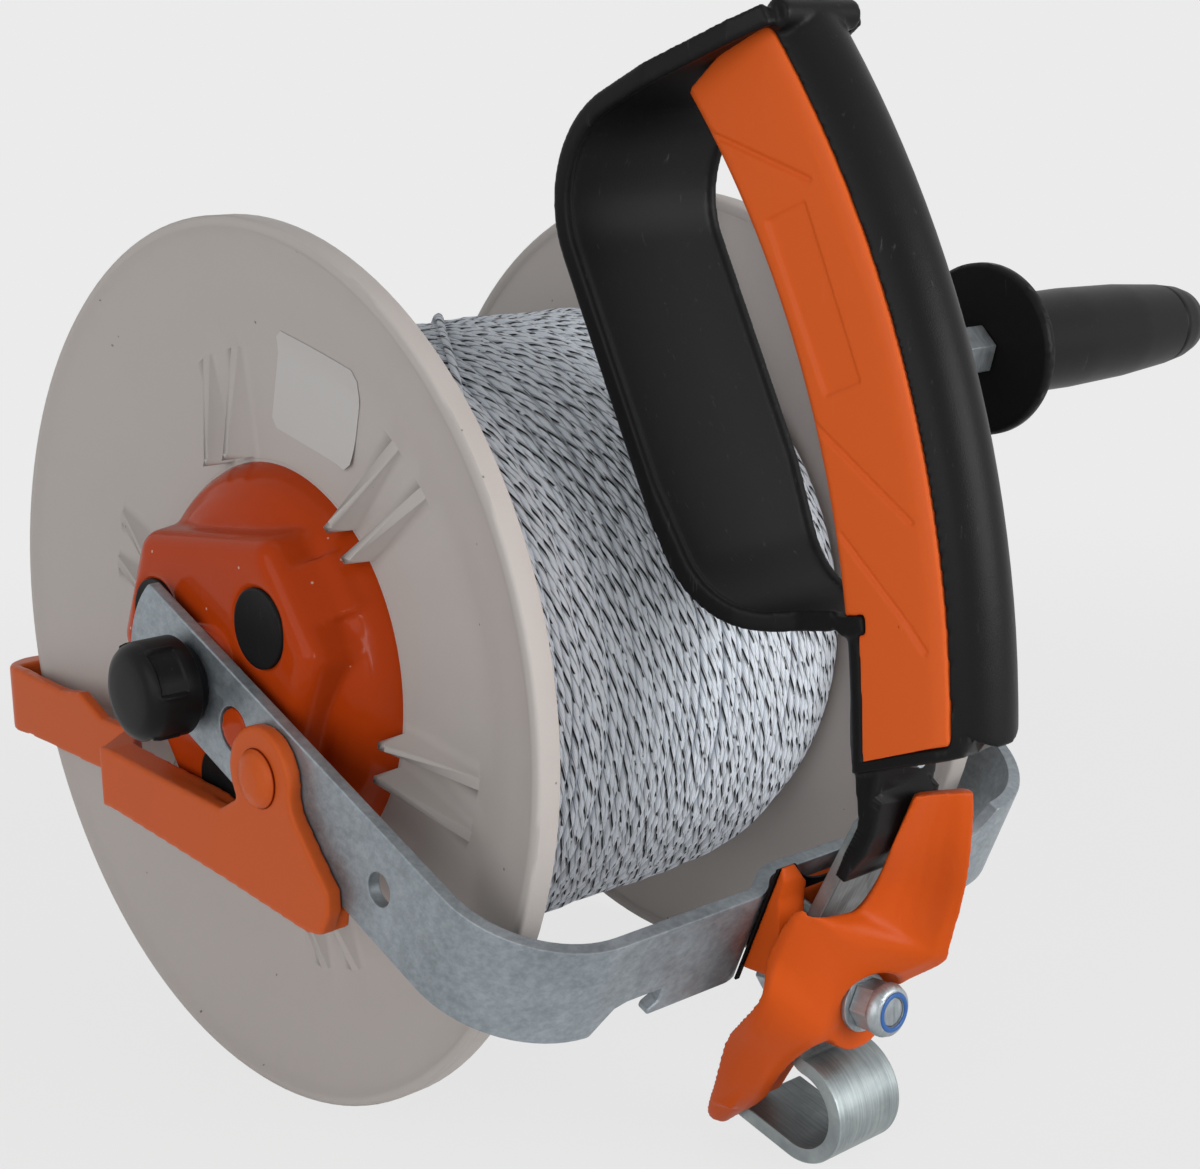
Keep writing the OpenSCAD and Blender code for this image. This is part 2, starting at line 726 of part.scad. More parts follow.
// wedge between cross-bar and hook bar, keyed in the pocket
module clamp_saddle() {
  low = (saddle_low + sin(arm_slope) * saddle_back) / cos(arm_slope);
  slot = hook_w / 2 + 0.2;
  color(orange) stand() difference() {
    union() {
      at_bar() plate(-saddle_half, saddle_half) polygon([arm_point(saddle_back, low),
        arm_point(saddle_back, saddle_top), [saddle_front - 2, 19.3], [saddle_front, 13.3],
        [saddle_front, saddle_low]]);
      at_bar() on_arm() translate([0.5 - pocket_half, -saddle_back - 1, -4])
        cube([2 * pocket_half - 1, pocket_d + gasket_t, strap_w / 2]);
      at_bolt() deep_rod(boss_front, head_back - seat_gap, boss_r);
      at_bolt() translate([-boss_r, boss_front, 0])
        cube([2 * boss_r, head_back - seat_gap - boss_front, bolt_drop + saddle_low + 3]);
    }
    at_bar() on_arm() translate([0, 0, saddle_dip_w]) deep_rod(-saddle_top, seat_gap, saddle_dip_r);
    at_bar() hook_strip(hook_t + 2 * seat_gap, hook_w + 2 * seat_gap);
    at_bar() translate([-slot, hook_bar_y - saddle_top, -bolt_drop * 2])
      cube([2 * slot, saddle_top, bolt_drop * 3]);
    at_bar() on_arm() translate([-slot, -hook_gap - saddle_top, -10]) cube([2 * slot, saddle_top, 60]);
    at_bolt() deep_rod(-saddle_top, head_back + past, bolt_r + seat_gap);
    at_bar() for (x = rivet_x) rivet_hole(x);
  }
}

module clamp_gasket() {
  half = saddle_half + 0.6;
  color(black) stand() at_bar() on_arm() difference() {
    translate([-half, -gasket_t, 1 - strap_w / 2]) cube([2 * half, gasket_t, strap_w + 8]);
    translate([-pocket_half, -gasket_t - past, -6]) cube([2 * pocket_half, gasket_t + 2 * past, strap_w / 2 + 4]);
    pocket_opening();
    translate([0, 0, saddle_dip_w]) deep_rod(-gasket_t - past, past, saddle_dip_r - 0.6);
  }
}

// sections of the latch from the thumb rest to the finger tip: left front, right front, right back and left back
// corner, and how far the front bulges
finger = hook_w / 2 + 0.8;
latch_sections = [
  [[-4.5, -36.4, 63.7], [14.8, -41, 61.8], [18, -35.2, 61.2], [1, -31.7, 63.2], -1.5],
  [[-5.7, -30.2, 50.4], [15, -41, 50.2], [19.5, -33.2, 49.2], [0, -26.2, 49.2], -3.5],
  [[-3.4, -23.2, 38], [15, -39, 33.2], [20, -29.2, 32.2], [2, -17.7, 34.7], -5],
  [[-5.5, -19.5, 30], [14, -35, 16.9], [19.5, -24.7, 17.2], [-4, -14.5, 27], -2.5],
  [[-14.2, -19.2, 30.1], [15, -32.7, 10.7], [19, -19.2, 11.2], [-13, -15.7, 28.2], -1],
  [[-23.9, -20.7, 32.9], [8.2, -22, 2.8], [14, -9.2, 3.2], [-23.5, -17.4, 30.2], 0],
  [[-28, -18.6, 34.6], [-1.5, -14.7, -6.6], [0, -7.2, -7.8], [-28.5, -15.1, 33.7], 1],
  [[-29.5, -12.2, 20.2], [-8, -15, -7.8], [-4, -6.9, -9.8], [-30, -7.2, 20.2], 1],
  [[-32, -10.2, 10.2], [-12, -14.7, -7.8], [-8, -6.9, -10.8], [-32.3, -6.9, 9.2], 1],
  [[-finger - 17.7, -4.7, -0.8], [-finger - 2.7, -12.2, -8.8], [-finger - 0.2, -6.7, -12.8],
    [-finger - 16.7, 2.8, -0.8], 1],
  [[-finger - 14.2, 3.8, -12.3], [-finger - 7.7, -3.7, -14.3], [-finger, 0.8, -21.8],
    [-finger - 13.7, 12.2, -10], 0.5],
  [[-finger - 11.2, 12.8, -26], [-finger - 6.7, 6.8, -27.8], [-finger, 8.8, -33.3],
    [-finger - 10.7, 19.6, -25.4], 0],
  [[-finger - 7.2, 22.8, -38], [-finger - 4.7, 18.8, -39.3], [-finger, 18.8, -40.8],
    [-finger - 6.7, 26.6, -38.5], 0],
  [[-finger - 4.2, 25.3, -43.3], [-finger - 2.7, 23.3, -43.8], [-finger - 0.5, 22.8, -43.8],
    [-finger - 4.7, 27.3, -42.8], 0]];
section_steps = 4;
corner_cut = 0.16;
front_points = 5;

// a smooth run through four values, between the middle two
function run_through(a, b, c, d, t) = b
  + t / 2 * (c - a + t * (2 * a - 5 * b + 4 * c - d + t * (3 * (b - c) + d - a)));
function section_at(s) = let(last = len(latch_sections) - 1, i = min(floor(s), last - 1), t = s - i)
  [for (k = [0:4]) run_through(latch_sections[max(i - 1, 0)][k], latch_sections[i][k], latch_sections[i + 1][k],
    latch_sections[min(i + 2, last)][k], t)];
function unit(v) = v / norm(v);
// the outline of one section, with its corners cut and its front bulged
function section_ring(q) = let(out = unit(cross(cross(q[1] - q[0], q[3] - q[0]), q[1] - q[0])))
  concat([for (j = [0:front_points - 1]) let(t = corner_cut + (1 - 2 * corner_cut) * j / (front_points - 1))
      q[0] + t * (q[1] - q[0]) - out * q[4] * sin(180 * t)],
    [for (k = [1:3], c = [corner_cut, 1 - corner_cut]) q[k] + c * (q[(k + 1) % 4] - q[k])]);

module latch_body() {
  count = (len(latch_sections) - 1) * section_steps;
  rings = [for (i = [count:-1:0]) section_ring(section_at(i / section_steps))];
  polyhedron([for (ring = rings, p = ring) p], tube_faces(count, len(rings[0])));
}

// the part of the latch that closes the hook's mouth
module latch_gate() {
  back = hook_t / 2 + 2.35;
  top = -11.5;
  tip = hook_tip_end - [hook_bar_y, -bolt_drop];
  low = tip[1] + hook_t / 2 + 2.1;
  plate(-finger - 8.7, -1) polygon([[back, top], [back + 6.4, top], [tip[0] + 1.2, low], [tip[0] - 5.8, low],
    [back, low + 15.5]]);
}

module latch() {
  color(orange) stand() at_bolt() difference() {
    union() {
      deep_rod(latch_front, latch_back, latch_hub_r);
      latch_body();
      latch_gate();
    }
    deep_rod(latch_front - 10, latch_back + past, bolt_r + run_gap);
    deep_rod(latch_front - 30, latch_front, washer_r + 1.1);
    difference() {
      deep_rod(latch_back - spring_room, latch_back + past, bolt_r + 7.5);
      deep_rod(latch_back - spring_room - past, latch_back + 2 * past, bolt_r + 3.5);
    }
  }
}

module latch_bolt() {
  color(zinc) stand() at_bolt() {
    deep_rod(nut_front - nut_end + 0.4, head_back, bolt_r);
    translate([0, head_back + 5.3, 0]) rotate([90, 0, 0]) cylinder(h = 5.3, r = nut_r, $fn = 6);
  }
}

module latch_washer() {
  color(zinc) stand() at_bolt() difference() {
    deep_rod(latch_front - washer_t, latch_front - seat_gap, washer_r);
    deep_rod(latch_front - washer_t - past, latch_front + past, bolt_r + seat_gap);
  }
}

// a nut with a round collar in front of its hexagon
module lock_nut() {
  color(zinc) stand() at_bolt() difference() {
    union() {
      translate([0, nut_back, 0]) rotate([90, 0, 0]) cylinder(h = nut_len + 0.5, r = nut_r - 0.4, $fn = 6);
      translate([0, nut_front, 0]) rotate([90, 0, 0]) rotate_extrude() polygon([[0, 0], [nut_r - 0.8, 0],
        [nut_r, 0.8], [nut_r, 2], [nut_r - 0.6, 3.4], [nut_r - 1.8, nut_end], [0, nut_end]]);
    }
    deep_rod(nut_front - nut_end - past, nut_back + past, bolt_r);
  }
}

module latch_spring() {
  color(zinc) stand() at_bolt() translate([0, latch_back - 1.2, 0]) rotate([90, 0, 0])
    coil(bolt_r + 5.5, 1.2, (spring_room - 2.2) / 1.5, 1.5, 16);
}

function block_corner(k) = let(even = k % 2 == 0,
    swing = atan((flat_short / flat_long - cos(60)) / sin(60)), r = flat_long / cos(swing))
  [r, 180 + 120 * floor(k / 2) + (even ? swing : -swing)];
block_soft = 7;

module housing_block() {
  hull() for (k = [0:5]) rotate([block_corner(k)[1], 0, 0]) {
    translate([-housing_x + block_soft, block_corner(k)[0] - block_soft * 1.12, 0]) sphere(block_soft, $fn = 32);
    translate([0, block_corner(k)[0] - block_soft * 1.12 + 2.5, 0]) rod(1 - web_x, 3 - web_x, block_soft);
  }
}

// a wedge that falls from each short flat to the rim of the dome
module housing_wedges() {
  wide = 9;
  for (k = [0:2]) rotate([120 * k, 0, 0]) intersection() {
    plate(-housing_x, dome_back) translate([dome_r / 2, -wide]) square([dome_r, 2 * wide]);
    translate([0, 0, -wide]) linear_extrude(2 * wide) polygon([[3 - housing_x, flat_short - 6],
      [4 - housing_x, flat_short - 1], [-web_x - 8, dome_r - 1.5], [-web_x, dome_r - 0.8], [-web_x, flat_short - 12]]);
  }
}

module gear_housing() {
  color(orange) stand() on_arm() difference() {
    union() {
      housing_block();
      housing_wedges();
      turned([[0, dome_back], [dome_r, dome_back], [dome_r, -web_x], [dome_r - 0.6, -web_x - 4],
        [dome_r - 2.5, -web_x - 8], [dome_r - 6, -web_x - 11], [dome_r - 11, -web_x - 13], [0, -web_x - 14]]);
      rod(-arm_in + seat_gap, 1 - housing_x, bush_r + 7);
      translate([0, -peg_at, 0]) rod(0.1 - arm_x, 1 - housing_x, peg_r);
    }
    rod(gear_front - past, dome_back + past, ring_out_r + seat_gap);
    rod(cavity_front, gear_front, carrier_r + 1);
    rod(-arm_x, cavity_front + past, bush_r + seat_gap);
    for (k = [0:2]) rotate([120 * k, 0, 0]) translate([0, planet_at, 0])
      rod(-housing_x - 5, plug_depth - housing_x, plug_r + seat_gap);
  }
}

module housing_plugs() {
  color(black) stand() on_arm() for (k = [0:2]) rotate([120 * k, 0, 0]) translate([0, planet_at, 0])
    rod(-housing_x - 1.2, plug_depth - housing_x - seat_gap, plug_r);
}

module gear_cover() {
  color(orange) stand() on_arm() difference() {
    rod(cover_front, cover_back, ring_out_r);
    rod(cover_front - past, cover_back + past, sun_tip_r + 3.8);
  }
}

module gear_body(outline) {
  plate(gear_front, gear_back) polygon(outline);
}

module ring_gear() {
  color(zinc) stand() on_arm() difference() {
    rod(gear_front, gear_back, ring_out_r);
    rotate([180 / ring_teeth, 0, 0]) plate(gear_front - past, gear_back + past)
      polygon(gear_outline(ring_teeth, tooth_in, tooth_out, gear_play / 2));
  }
}

module sun_gear() {
  color(zinc) stand() on_arm() difference() {
    union() {
      gear_body(gear_outline(sun_teeth, tooth_out, tooth_in, -gear_play / 2));
      rod(gear_back - 0.5, -drum_end, sun_hub_r);
    }
    rod(gear_front - past, past - drum_end, far_bush_r + seat_gap);
  }
}

module planet_gear(k) {
  color(zinc) stand() on_arm() rotate([120 * k, 0, 0]) translate([0, planet_at, 0])
    difference() {
      rotate([planet_phase(k) - 120 * k, 0, 0])
        gear_body(gear_outline(planet_teeth, tooth_out, tooth_in, -gear_play / 2));
      rod(gear_front - past, gear_back + past, planet_pin_r + run_gap);
    }
}

module planet_gear_1() {
  planet_gear(0);
}

module planet_gear_2() {
  planet_gear(1);
}

module planet_gear_3() {
  planet_gear(2);
}

module planet_carrier() {
  color(zinc) stand() on_arm() difference() {
    union() {
      rod(carrier_front, carrier_back, carrier_r);
      rod(carrier_hub, carrier_back + 0.6, carrier_hub_r);
    }
    rod(carrier_hub - past, gear_front, shaft_r);
    for (k = [0:2]) rotate([120 * k, 0, 0]) translate([0, planet_at, 0])
      rod(carrier_front - past, gear_front, planet_pin_r);
  }
}

module planet_pins() {
  color(zinc) stand() on_arm() for (k = [0:2]) rotate([120 * k, 0, 0]) translate([0, planet_at, 0])
    rod(carrier_front, gear_back - 0.3, planet_pin_r);
}

module drive_shaft() {
  color(zinc) stand() rod(1.5 - arm_x, crank_out + 9, shaft_r);
}

module shaft_spacer() {
  color(zinc) stand() difference() {
    rod(web_in - 5.5, arm_in - 2.2, shaft_r + 3);
    rod(web_in - 6 - past, arm_in, shaft_r);
  }
}

module near_bush() {
  color(zinc) stand() difference() {
    union() {
      rod(knob_floor + 1.2, cavity_front + 0.1, bush_r);
      rod(cavity_front + 0.1, cavity_front + 1.7, bush_r + 3.5);
    }
    rod(knob_floor, carrier_hub + past, shaft_r + run_gap);
  }
}

module far_bush() {
  color(zinc) stand() difference() {
    union() {
      rod(arm_in - 0.5, arm_x + 1, far_bush_r);
      rod(arm_in - 2, arm_in - seat_gap, far_bush_r + 4);
    }
    rod(arm_in - 2 - past, arm_x + 1 + past, shaft_r + run_gap);
  }
}

module spool_bush(x0, x1) {
  color(zinc) stand() difference() {
    rod(x0, x1, far_bush_r);
    rod(x0 - past, x1 + past, shaft_r + run_gap);
  }
}

module spool_bush_near() {
  spool_bush(gear_front, 24 - web_in);
}

module spool_bush_far() {
  spool_bush(web_in - 26, web_in - 6);
}

lever_x = arm_x + 0.4;
lever_out = lever_x + lever_t;
lever_block_x = arm_in - 1;
clip_t = 4.1;
clip_out_x = rim_x + 7.5;
clip_back_x = web_x - 3.8;
clip_mid_x = (clip_out_x + clip_back_x) / 2;
clip_bend_r = (clip_out_x - clip_back_x) / 2;
clip_bend_y = clip_end - clip_bend_r - lever_pivot[0];
clip_rim_y = rim_r - 5 - lever_pivot[0];
clip_back_y = rim_r - 16 - lever_pivot[0];
clip_low = -24.8;
clip_high = -2.8;
brake_r = rim_r + brake_gap;
pin_seat = lever_out + 0.3;

module lever_pin() {
  head = lever_pin_r + 3.5;
  color(orange) stand() on_arm() translate([0, -lever_at, 0]) {
    rod(-pin_seat - 0.3, 0.5 - arm_in, lever_pin_r);
    turned([[0, -pin_seat - 3], [head - 4.5, -pin_seat - 2.8], [head - 1.3, -pin_seat - 1.6], [head, -pin_seat],
      [0, -pin_seat]]);
    rod(seat_gap - arm_in, 2 - arm_in, head - 1);
  }
}

// the lever, with Y and Z from its pivot
module lever_outline() {
  difference() {
    union() {
      circle(lever_ear_r);
      polygon([[9.9, -7.3], [20.9, -13.3], [82.9, -8.8], [82.9, -27.3], [19.9, -34.3], [-19.1, -39.3],
        [-26.1, -37.8], [-30.1, -31.3], [-30.1, -25.3], [-23.1, -17.3], [-15.1, -7.3], [-13.6, -1.3], [-1.1, 8.7]]);
    }
    circle(lever_pin_r + run_gap);
  }
}

// the slanted step from the lever's plate to its clip
module lever_step() {
  intersection() {
    translate([0, 0, -40]) linear_extrude(40) polygon([[-lever_out, 82.8], [-lever_block_x, 82.8],
      [clip_t - clip_out_x, 97.9], [clip_t - clip_out_x, 100.9], [-clip_out_x, 100.9], [-lever_out, 86.9]]);
    plate(-lever_out - past, clip_t + past - clip_out_x)
      polygon([[81.9, -8.8], [101.9, -9.8], [101.9, -27.3], [81.9, -27.3]]);
  }
}

module brake_lever() {
  color(orange) stand() difference() {
    translate([0, lever_pivot[0], lever_pivot[1]]) {
      plate(-lever_out, -lever_x) lever_outline();
      plate(-lever_out, -lever_block_x) polygon([[-27.1, -31.8], [-25.6, -38.3], [-19.1, -39.3], [19.9, -34.3],
        [82.9, -27.3], [82.9, -8.8], [30.9, -12.8], [16.9, -17.3], [-4.1, -24.3]]);
      lever_step();
      plate(-clip_out_x, clip_t - clip_out_x) polygon([[100.4, -9.8], [115.9, -9.3], [128.9, -3.3], [140.9, -4.8],
        [clip_bend_y, clip_high], [clip_bend_y, clip_low], [clip_rim_y, clip_low + 0.5], [100.4, -27.3]]);
      plate(-clip_back_x - clip_t, -clip_back_x) polygon([[clip_back_y, clip_high - 4.5], [clip_bend_y, clip_high],
        [clip_bend_y, clip_low], [clip_back_y, clip_low + 3.5]]);
      translate([-clip_mid_x, clip_bend_y, clip_low]) intersection() {
        cylinder(h = clip_high - clip_low, r = clip_bend_r);
        translate([-2 * clip_bend_r, 0, 0]) cube([4 * clip_bend_r, 2 * clip_bend_r, clip_high - clip_low]);
      }
      translate([1 - clip_out_x, clip_rim_y + 1, clip_low])
        cube([clip_out_x - clip_back_x - 2, clip_bend_y - clip_rim_y, clip_high - clip_low]);
    }
    rod(clip_t - clip_out_x, -clip_back_x - clip_t, brake_r);
  }
}

module drag_knob() {
  color(black) stand() difference() {
    union() {
      turned([[0, knob_from], [knob_r, knob_from], [knob_r, knob_from - knob_len * 0.6],
        [knob_r - 1.2, knob_from - knob_len * 0.82], [knob_r - 4, knob_from - knob_len * 0.95],
        [knob_r - 7.5, knob_from - knob_len], [0, knob_from - knob_len]]);
      for (k = [0:7]) rotate([45 * k + 10, 0, 0]) translate([knob_from - knob_len * 0.72, knob_r - 1, -1.4])
        cube([knob_len * 0.6, 2, 2.8]);
    }
    rod(knob_floor, knob_from + past, bush_r + run_gap);
  }
}

module drag_pad() {
  color(zinc) stand() rod(-arm_x - 0.5, 1.2 - arm_x, shaft_r - 0.3);
}

module drag_spring() {
  start = knob_floor + 1.6;
  color(zinc) stand() translate([start, 0, 0]) rotate([0, 90, 0])
    coil(shaft_r - 1.4, 1.1, (-arm_x - 1.2 - start) / 4, 4, 8);
}

// a fin that is thinner at its top
module gusset() {
  top_t = gusset_t * 0.6;
  intersection() {
    translate([0, 0, -gusset_t]) linear_extrude(2 * gusset_t) polygon([[web_x - 0.6, hub_hole_r + 0.6],
      [web_x - 0.6, flare_r + 3], [web_x + 0.3, flare_r + 1], [web_x + gusset_h - 0.8, hub_hole_r + 2.5],
      [web_x + gusset_h, hub_hole_r + 0.6]]);
    rotate([-90, 0, 0]) linear_extrude(rim_r) polygon([[web_x - past, -gusset_t / 2],
      [web_x + gusset_h + past, -top_t / 2], [web_x + gusset_h + past, top_t / 2], [web_x - past, gusset_t / 2]]);
  }
}

module flange() {
  turned([[hub_hole_r, web_in], [flare_r - 1, web_in], [rim_r - 4, rim_in + 1.2], [rim_r - 3.2, rim_in],
    [rim_r - 1, rim_in], [rim_r, rim_in + 1], [rim_r, rim_x - 1], [rim_r - 1, rim_x], [rim_r - 3.2, rim_x],
    [rim_r - 5, rim_x - 2.4], [flare_r + 0.5, web_x], [hub_hole_r, web_x]]);
  for (k = [0:gusset_pairs - 1], s = [-1, 1])
    rotate([gusset_turn + k * 360 / gusset_pairs + s * gusset_half, 0, 0]) gusset();
}

module near_flange() {
  color(grey) stand() mirror([1, 0, 0]) flange();
}

module far_flange() {
  color(grey) stand() flange();
}

module drum() {
  wall_in = drum_end - drum_end_t;
  color(grey) stand() difference() {
    union() {
      rod(seat_gap - web_in, web_in - seat_gap, drum_r);
      rod(-web_x, web_x, hub_hole_r - seat_gap);
    }
    rod(-web_x - past, -drum_end, drum_bore_r);
    rod(-wall_in, wall_in, drum_bore_r);
    rod(drum_end, web_x + past, drum_bore_r);
    rod(-drum_end - past, drum_end + past, far_bush_r + seat_gap);
  }
}

module wire_core() {
  end = web_in - 0.2;
  inside = drum_r + seat_gap;
  color(white) stand() turned([[inside, -end], [wound_r - 3, -end], [wound_r, 4 - end], [wound_r, taper_from],
    [wound_r - taper_drop, end], [inside, end]]);
}

module wire_layer() {
  count = len(wire_path) - 1;
  points = [for (i = [0:count], k = [0:tube_sides - 1])
    let(a = min(max(i - 1, 0), wire_rings) * 360 / loop_rings, b = k * 360 / tube_sides)
    wire_path[i] + wire_d / 2 * [sin(b), cos(b) * cos(a), cos(b) * sin(a)]];
  color(white) stand() polyhedron(points, tube_faces(count, tube_sides));
}

// turned to the crank's angle and moved out to its pin
module at_crank_pin() {
  rotate([crank_turn, 0, 0]) translate([0, crank_r, 0]) children();
}

module crank_arm() {
  color(zinc) stand() rotate([crank_turn, 0, 0]) difference() {
    union() {
      rod(crank_x, crank_out, crank_half);
      translate([0, crank_r, 0]) rod(crank_x, crank_out, crank_half);
      translate([crank_x, 0, -crank_half]) cube([crank_t, crank_r, 2 * crank_half]);
    }
    rod(crank_x - past, crank_out + past, shaft_r);
    translate([0, crank_r, 0]) rod(crank_x - past, crank_out + past, crank_pin_r);
  }
}

module crank_nut() {
  color(zinc) stand() difference() {
    rod_hex(crank_out + seat_gap, crank_out + 7, shaft_r + 5);
    rod(crank_out - past, crank_out + 7 + past, shaft_r);
  }
}

module crank_pin() {
  color(zinc) stand() at_crank_pin() {
    rod(crank_x - 2.5, crank_x, crank_pin_r + 3);
    rod(crank_x, grip_split + 1, crank_pin_r);
    rod_hex(crank_out, disc_x - 0.4, crank_pin_r + 3.6);
    rod(grip_split + 1, grip_split + 3, crank_pin_r + 2);
  }
}

module crank_grip() {
  bore = crank_pin_r + run_gap;
  seat = crank_pin_r + 3;
  body = grip_split - disc_x;
  color(black) stand() at_crank_pin() translate([disc_x, 0, 0])
    turned([[bore, 0], [disc_r - 1.5, 0], [disc_r, 1.5], [disc_r, 4], [disc_r - 2, 6], [grip_r + 2, 7],
      [grip_r - 0.3, 10], [grip_r, body * 0.45], [grip_r - 0.8, body * 0.75], [grip_r - 2.6, body], [seat, body],
      [seat, body - 4], [bore, body - 4]]);
}

module grip_cap() {
  seat = crank_pin_r + 3;
  color(black) stand() at_crank_pin() translate([grip_split, 0, 0])
    turned([[0, cap_len], [grip_r - 11.8, cap_len], [grip_r - 7.8, cap_len - 1.8], [grip_r - 5.2, cap_len - 5],
      [grip_r - 3.8, cap_len - 10], [grip_r - 2.9, 2], [grip_r - 3.6, seat_gap], [seat, seat_gap], [seat, 6],
      [0, 6]]);
}

yoke_frame();
hook_bar();
handle_core();
handle_inlay_left();
handle_inlay_right();
handle_screws();
clamp_saddle();
clamp_gasket();
frame_rivets();
latch();
latch_bolt();
latch_washer();
lock_nut();
latch_spring();
gear_housing();
gear_cover();
ring_gear();
housing_plugs();
near_bush();
far_bush();
lever_pin();
brake_lever();
drag_knob();
drag_spring();
drag_pad();
near_flange();
far_flange();
drum();
wire_core();
wire_layer();
sun_gear();
spool_bush_near();
spool_bush_far();
drive_shaft();
shaft_spacer();
planet_carrier();
planet_pins();
planet_gear_1();
planet_gear_2();
planet_gear_3();
crank_arm();
crank_nut();
crank_pin();
crank_grip();
grip_cap();
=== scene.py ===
"""Looks of the electric fence reel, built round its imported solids."""
import json
import math

import bmesh
import bpy
from mathutils import Matrix, Vector


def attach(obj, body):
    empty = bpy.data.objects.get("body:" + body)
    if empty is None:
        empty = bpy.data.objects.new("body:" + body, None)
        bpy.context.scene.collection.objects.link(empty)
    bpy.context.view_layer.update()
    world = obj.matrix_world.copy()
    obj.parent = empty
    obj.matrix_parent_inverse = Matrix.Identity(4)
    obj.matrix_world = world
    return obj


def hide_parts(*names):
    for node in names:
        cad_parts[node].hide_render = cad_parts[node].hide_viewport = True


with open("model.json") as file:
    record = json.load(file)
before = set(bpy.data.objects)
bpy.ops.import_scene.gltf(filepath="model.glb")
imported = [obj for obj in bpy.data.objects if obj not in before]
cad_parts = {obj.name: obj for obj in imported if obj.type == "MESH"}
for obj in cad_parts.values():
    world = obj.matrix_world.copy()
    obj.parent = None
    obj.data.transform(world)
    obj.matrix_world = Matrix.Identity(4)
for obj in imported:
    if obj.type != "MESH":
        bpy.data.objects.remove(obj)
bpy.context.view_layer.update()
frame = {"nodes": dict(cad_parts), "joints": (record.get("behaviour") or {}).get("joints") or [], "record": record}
nodes = frame["nodes"]
node_body = {}
for body_name, members in frame["record"]["behaviour"]["bodies"].items():
    for member in members:
        node_body[member] = body_name
slot_of_node = {part["node"]: part["material_slot"] for part in frame["record"]["subparts"]}
joint_at = {joint["name"]: Vector(joint["pos_m"]) for joint in frame["joints"]}

# Shared values. Lengths and places are millimetres from the axle, at the middle of the handle.

MM = 0.001
AXLE = Vector((joint_at["latch_swing"].x, joint_at["spool_spin"].y, joint_at["spool_spin"].z))
ARM_SLOPE = math.radians(24.6)
ARM_AHEAD = Vector((0, -math.cos(ARM_SLOPE), -math.sin(ARM_SLOPE)))
ARM_UP = Vector((0, -math.sin(ARM_SLOPE), math.cos(ARM_SLOPE)))


def from_axle(x, y, z):
    """A point given in millimetres from the axle."""
    return AXLE + Vector((x, y, z)) * MM


def ramp(value, low, high):
    """Share of the way from low to high, held between 0 and 1."""
    return min(max((value - low) / (high - low), 0.0), 1.0)


def between(first, last, share):
    """The value that lies a share of the way from first to last."""
    return first + (last - first) * share


def linear(red, green, blue):
    """A colour given as 0 to 255 display values."""
    def one(value):
        """One channel, taken off the display curve."""
        value = value / 255
        return value / 12.92 if value <= 0.04045 else ((value + 0.055) / 1.055) ** 2.4
    return (one(red), one(green), one(blue), 1.0)


# Camera

IMAGE_WIDE = 1200
FOCAL_PIXELS = 2167.3
SENSOR_MM = 36.0
NEAREST_SEEN = 0.01
CAMERA_AT = (-419.8, -522.4, 155.8)
CAMERA_RIGHT = (0.74018, -0.672, -0.02347)
CAMERA_FORWARD = (0.65296, 0.72667, -0.21352)


def place_camera():
    """The camera at the photograph's viewing angle."""
    right = Vector(CAMERA_RIGHT).normalized()
    forward = Vector(CAMERA_FORWARD).normalized()
    up = right.cross(forward).normalized()
    data = bpy.data.cameras.new("photo_camera")
    data.sensor_fit = "HORIZONTAL"
    data.sensor_width = SENSOR_MM
    data.lens = FOCAL_PIXELS * SENSOR_MM / IMAGE_WIDE
    data.clip_start = NEAREST_SEEN
    camera = bpy.data.objects.new("photo_camera", data)
    bpy.context.scene.collection.objects.link(camera)
    turn = Matrix((right, up, -forward)).transposed()
    camera.matrix_world = Matrix.Translation(from_axle(*CAMERA_AT)) @ turn.to_4x4()
    bpy.context.scene.camera = camera


# Shader groups

COLOUR = "NodeSocketColor"
VALUE = "NodeSocketFloat"
PLACE = "NodeSocketVector"
MIX_FACTOR, MIX_FIRST, MIX_SECOND = 0, 6, 7
MIX_RESULT = 2
HALFWAY = 0.5


def start_group(name, inputs, outputs):
    """An empty shader group with its sockets: (name, kind, default) in, (name, kind) out."""
    tree = bpy.data.node_groups.new(name, "ShaderNodeTree")
    for label, kind, default in inputs:
        socket = tree.interface.new_socket(label, in_out="INPUT", socket_type=kind)
        socket.default_value = default
    for label, kind in outputs:
        tree.interface.new_socket(label, in_out="OUTPUT", socket_type=kind)
    entry = tree.nodes.new("NodeGroupInput")
    leave = tree.nodes.new("NodeGroupOutput")
    return tree, entry.outputs, leave.inputs


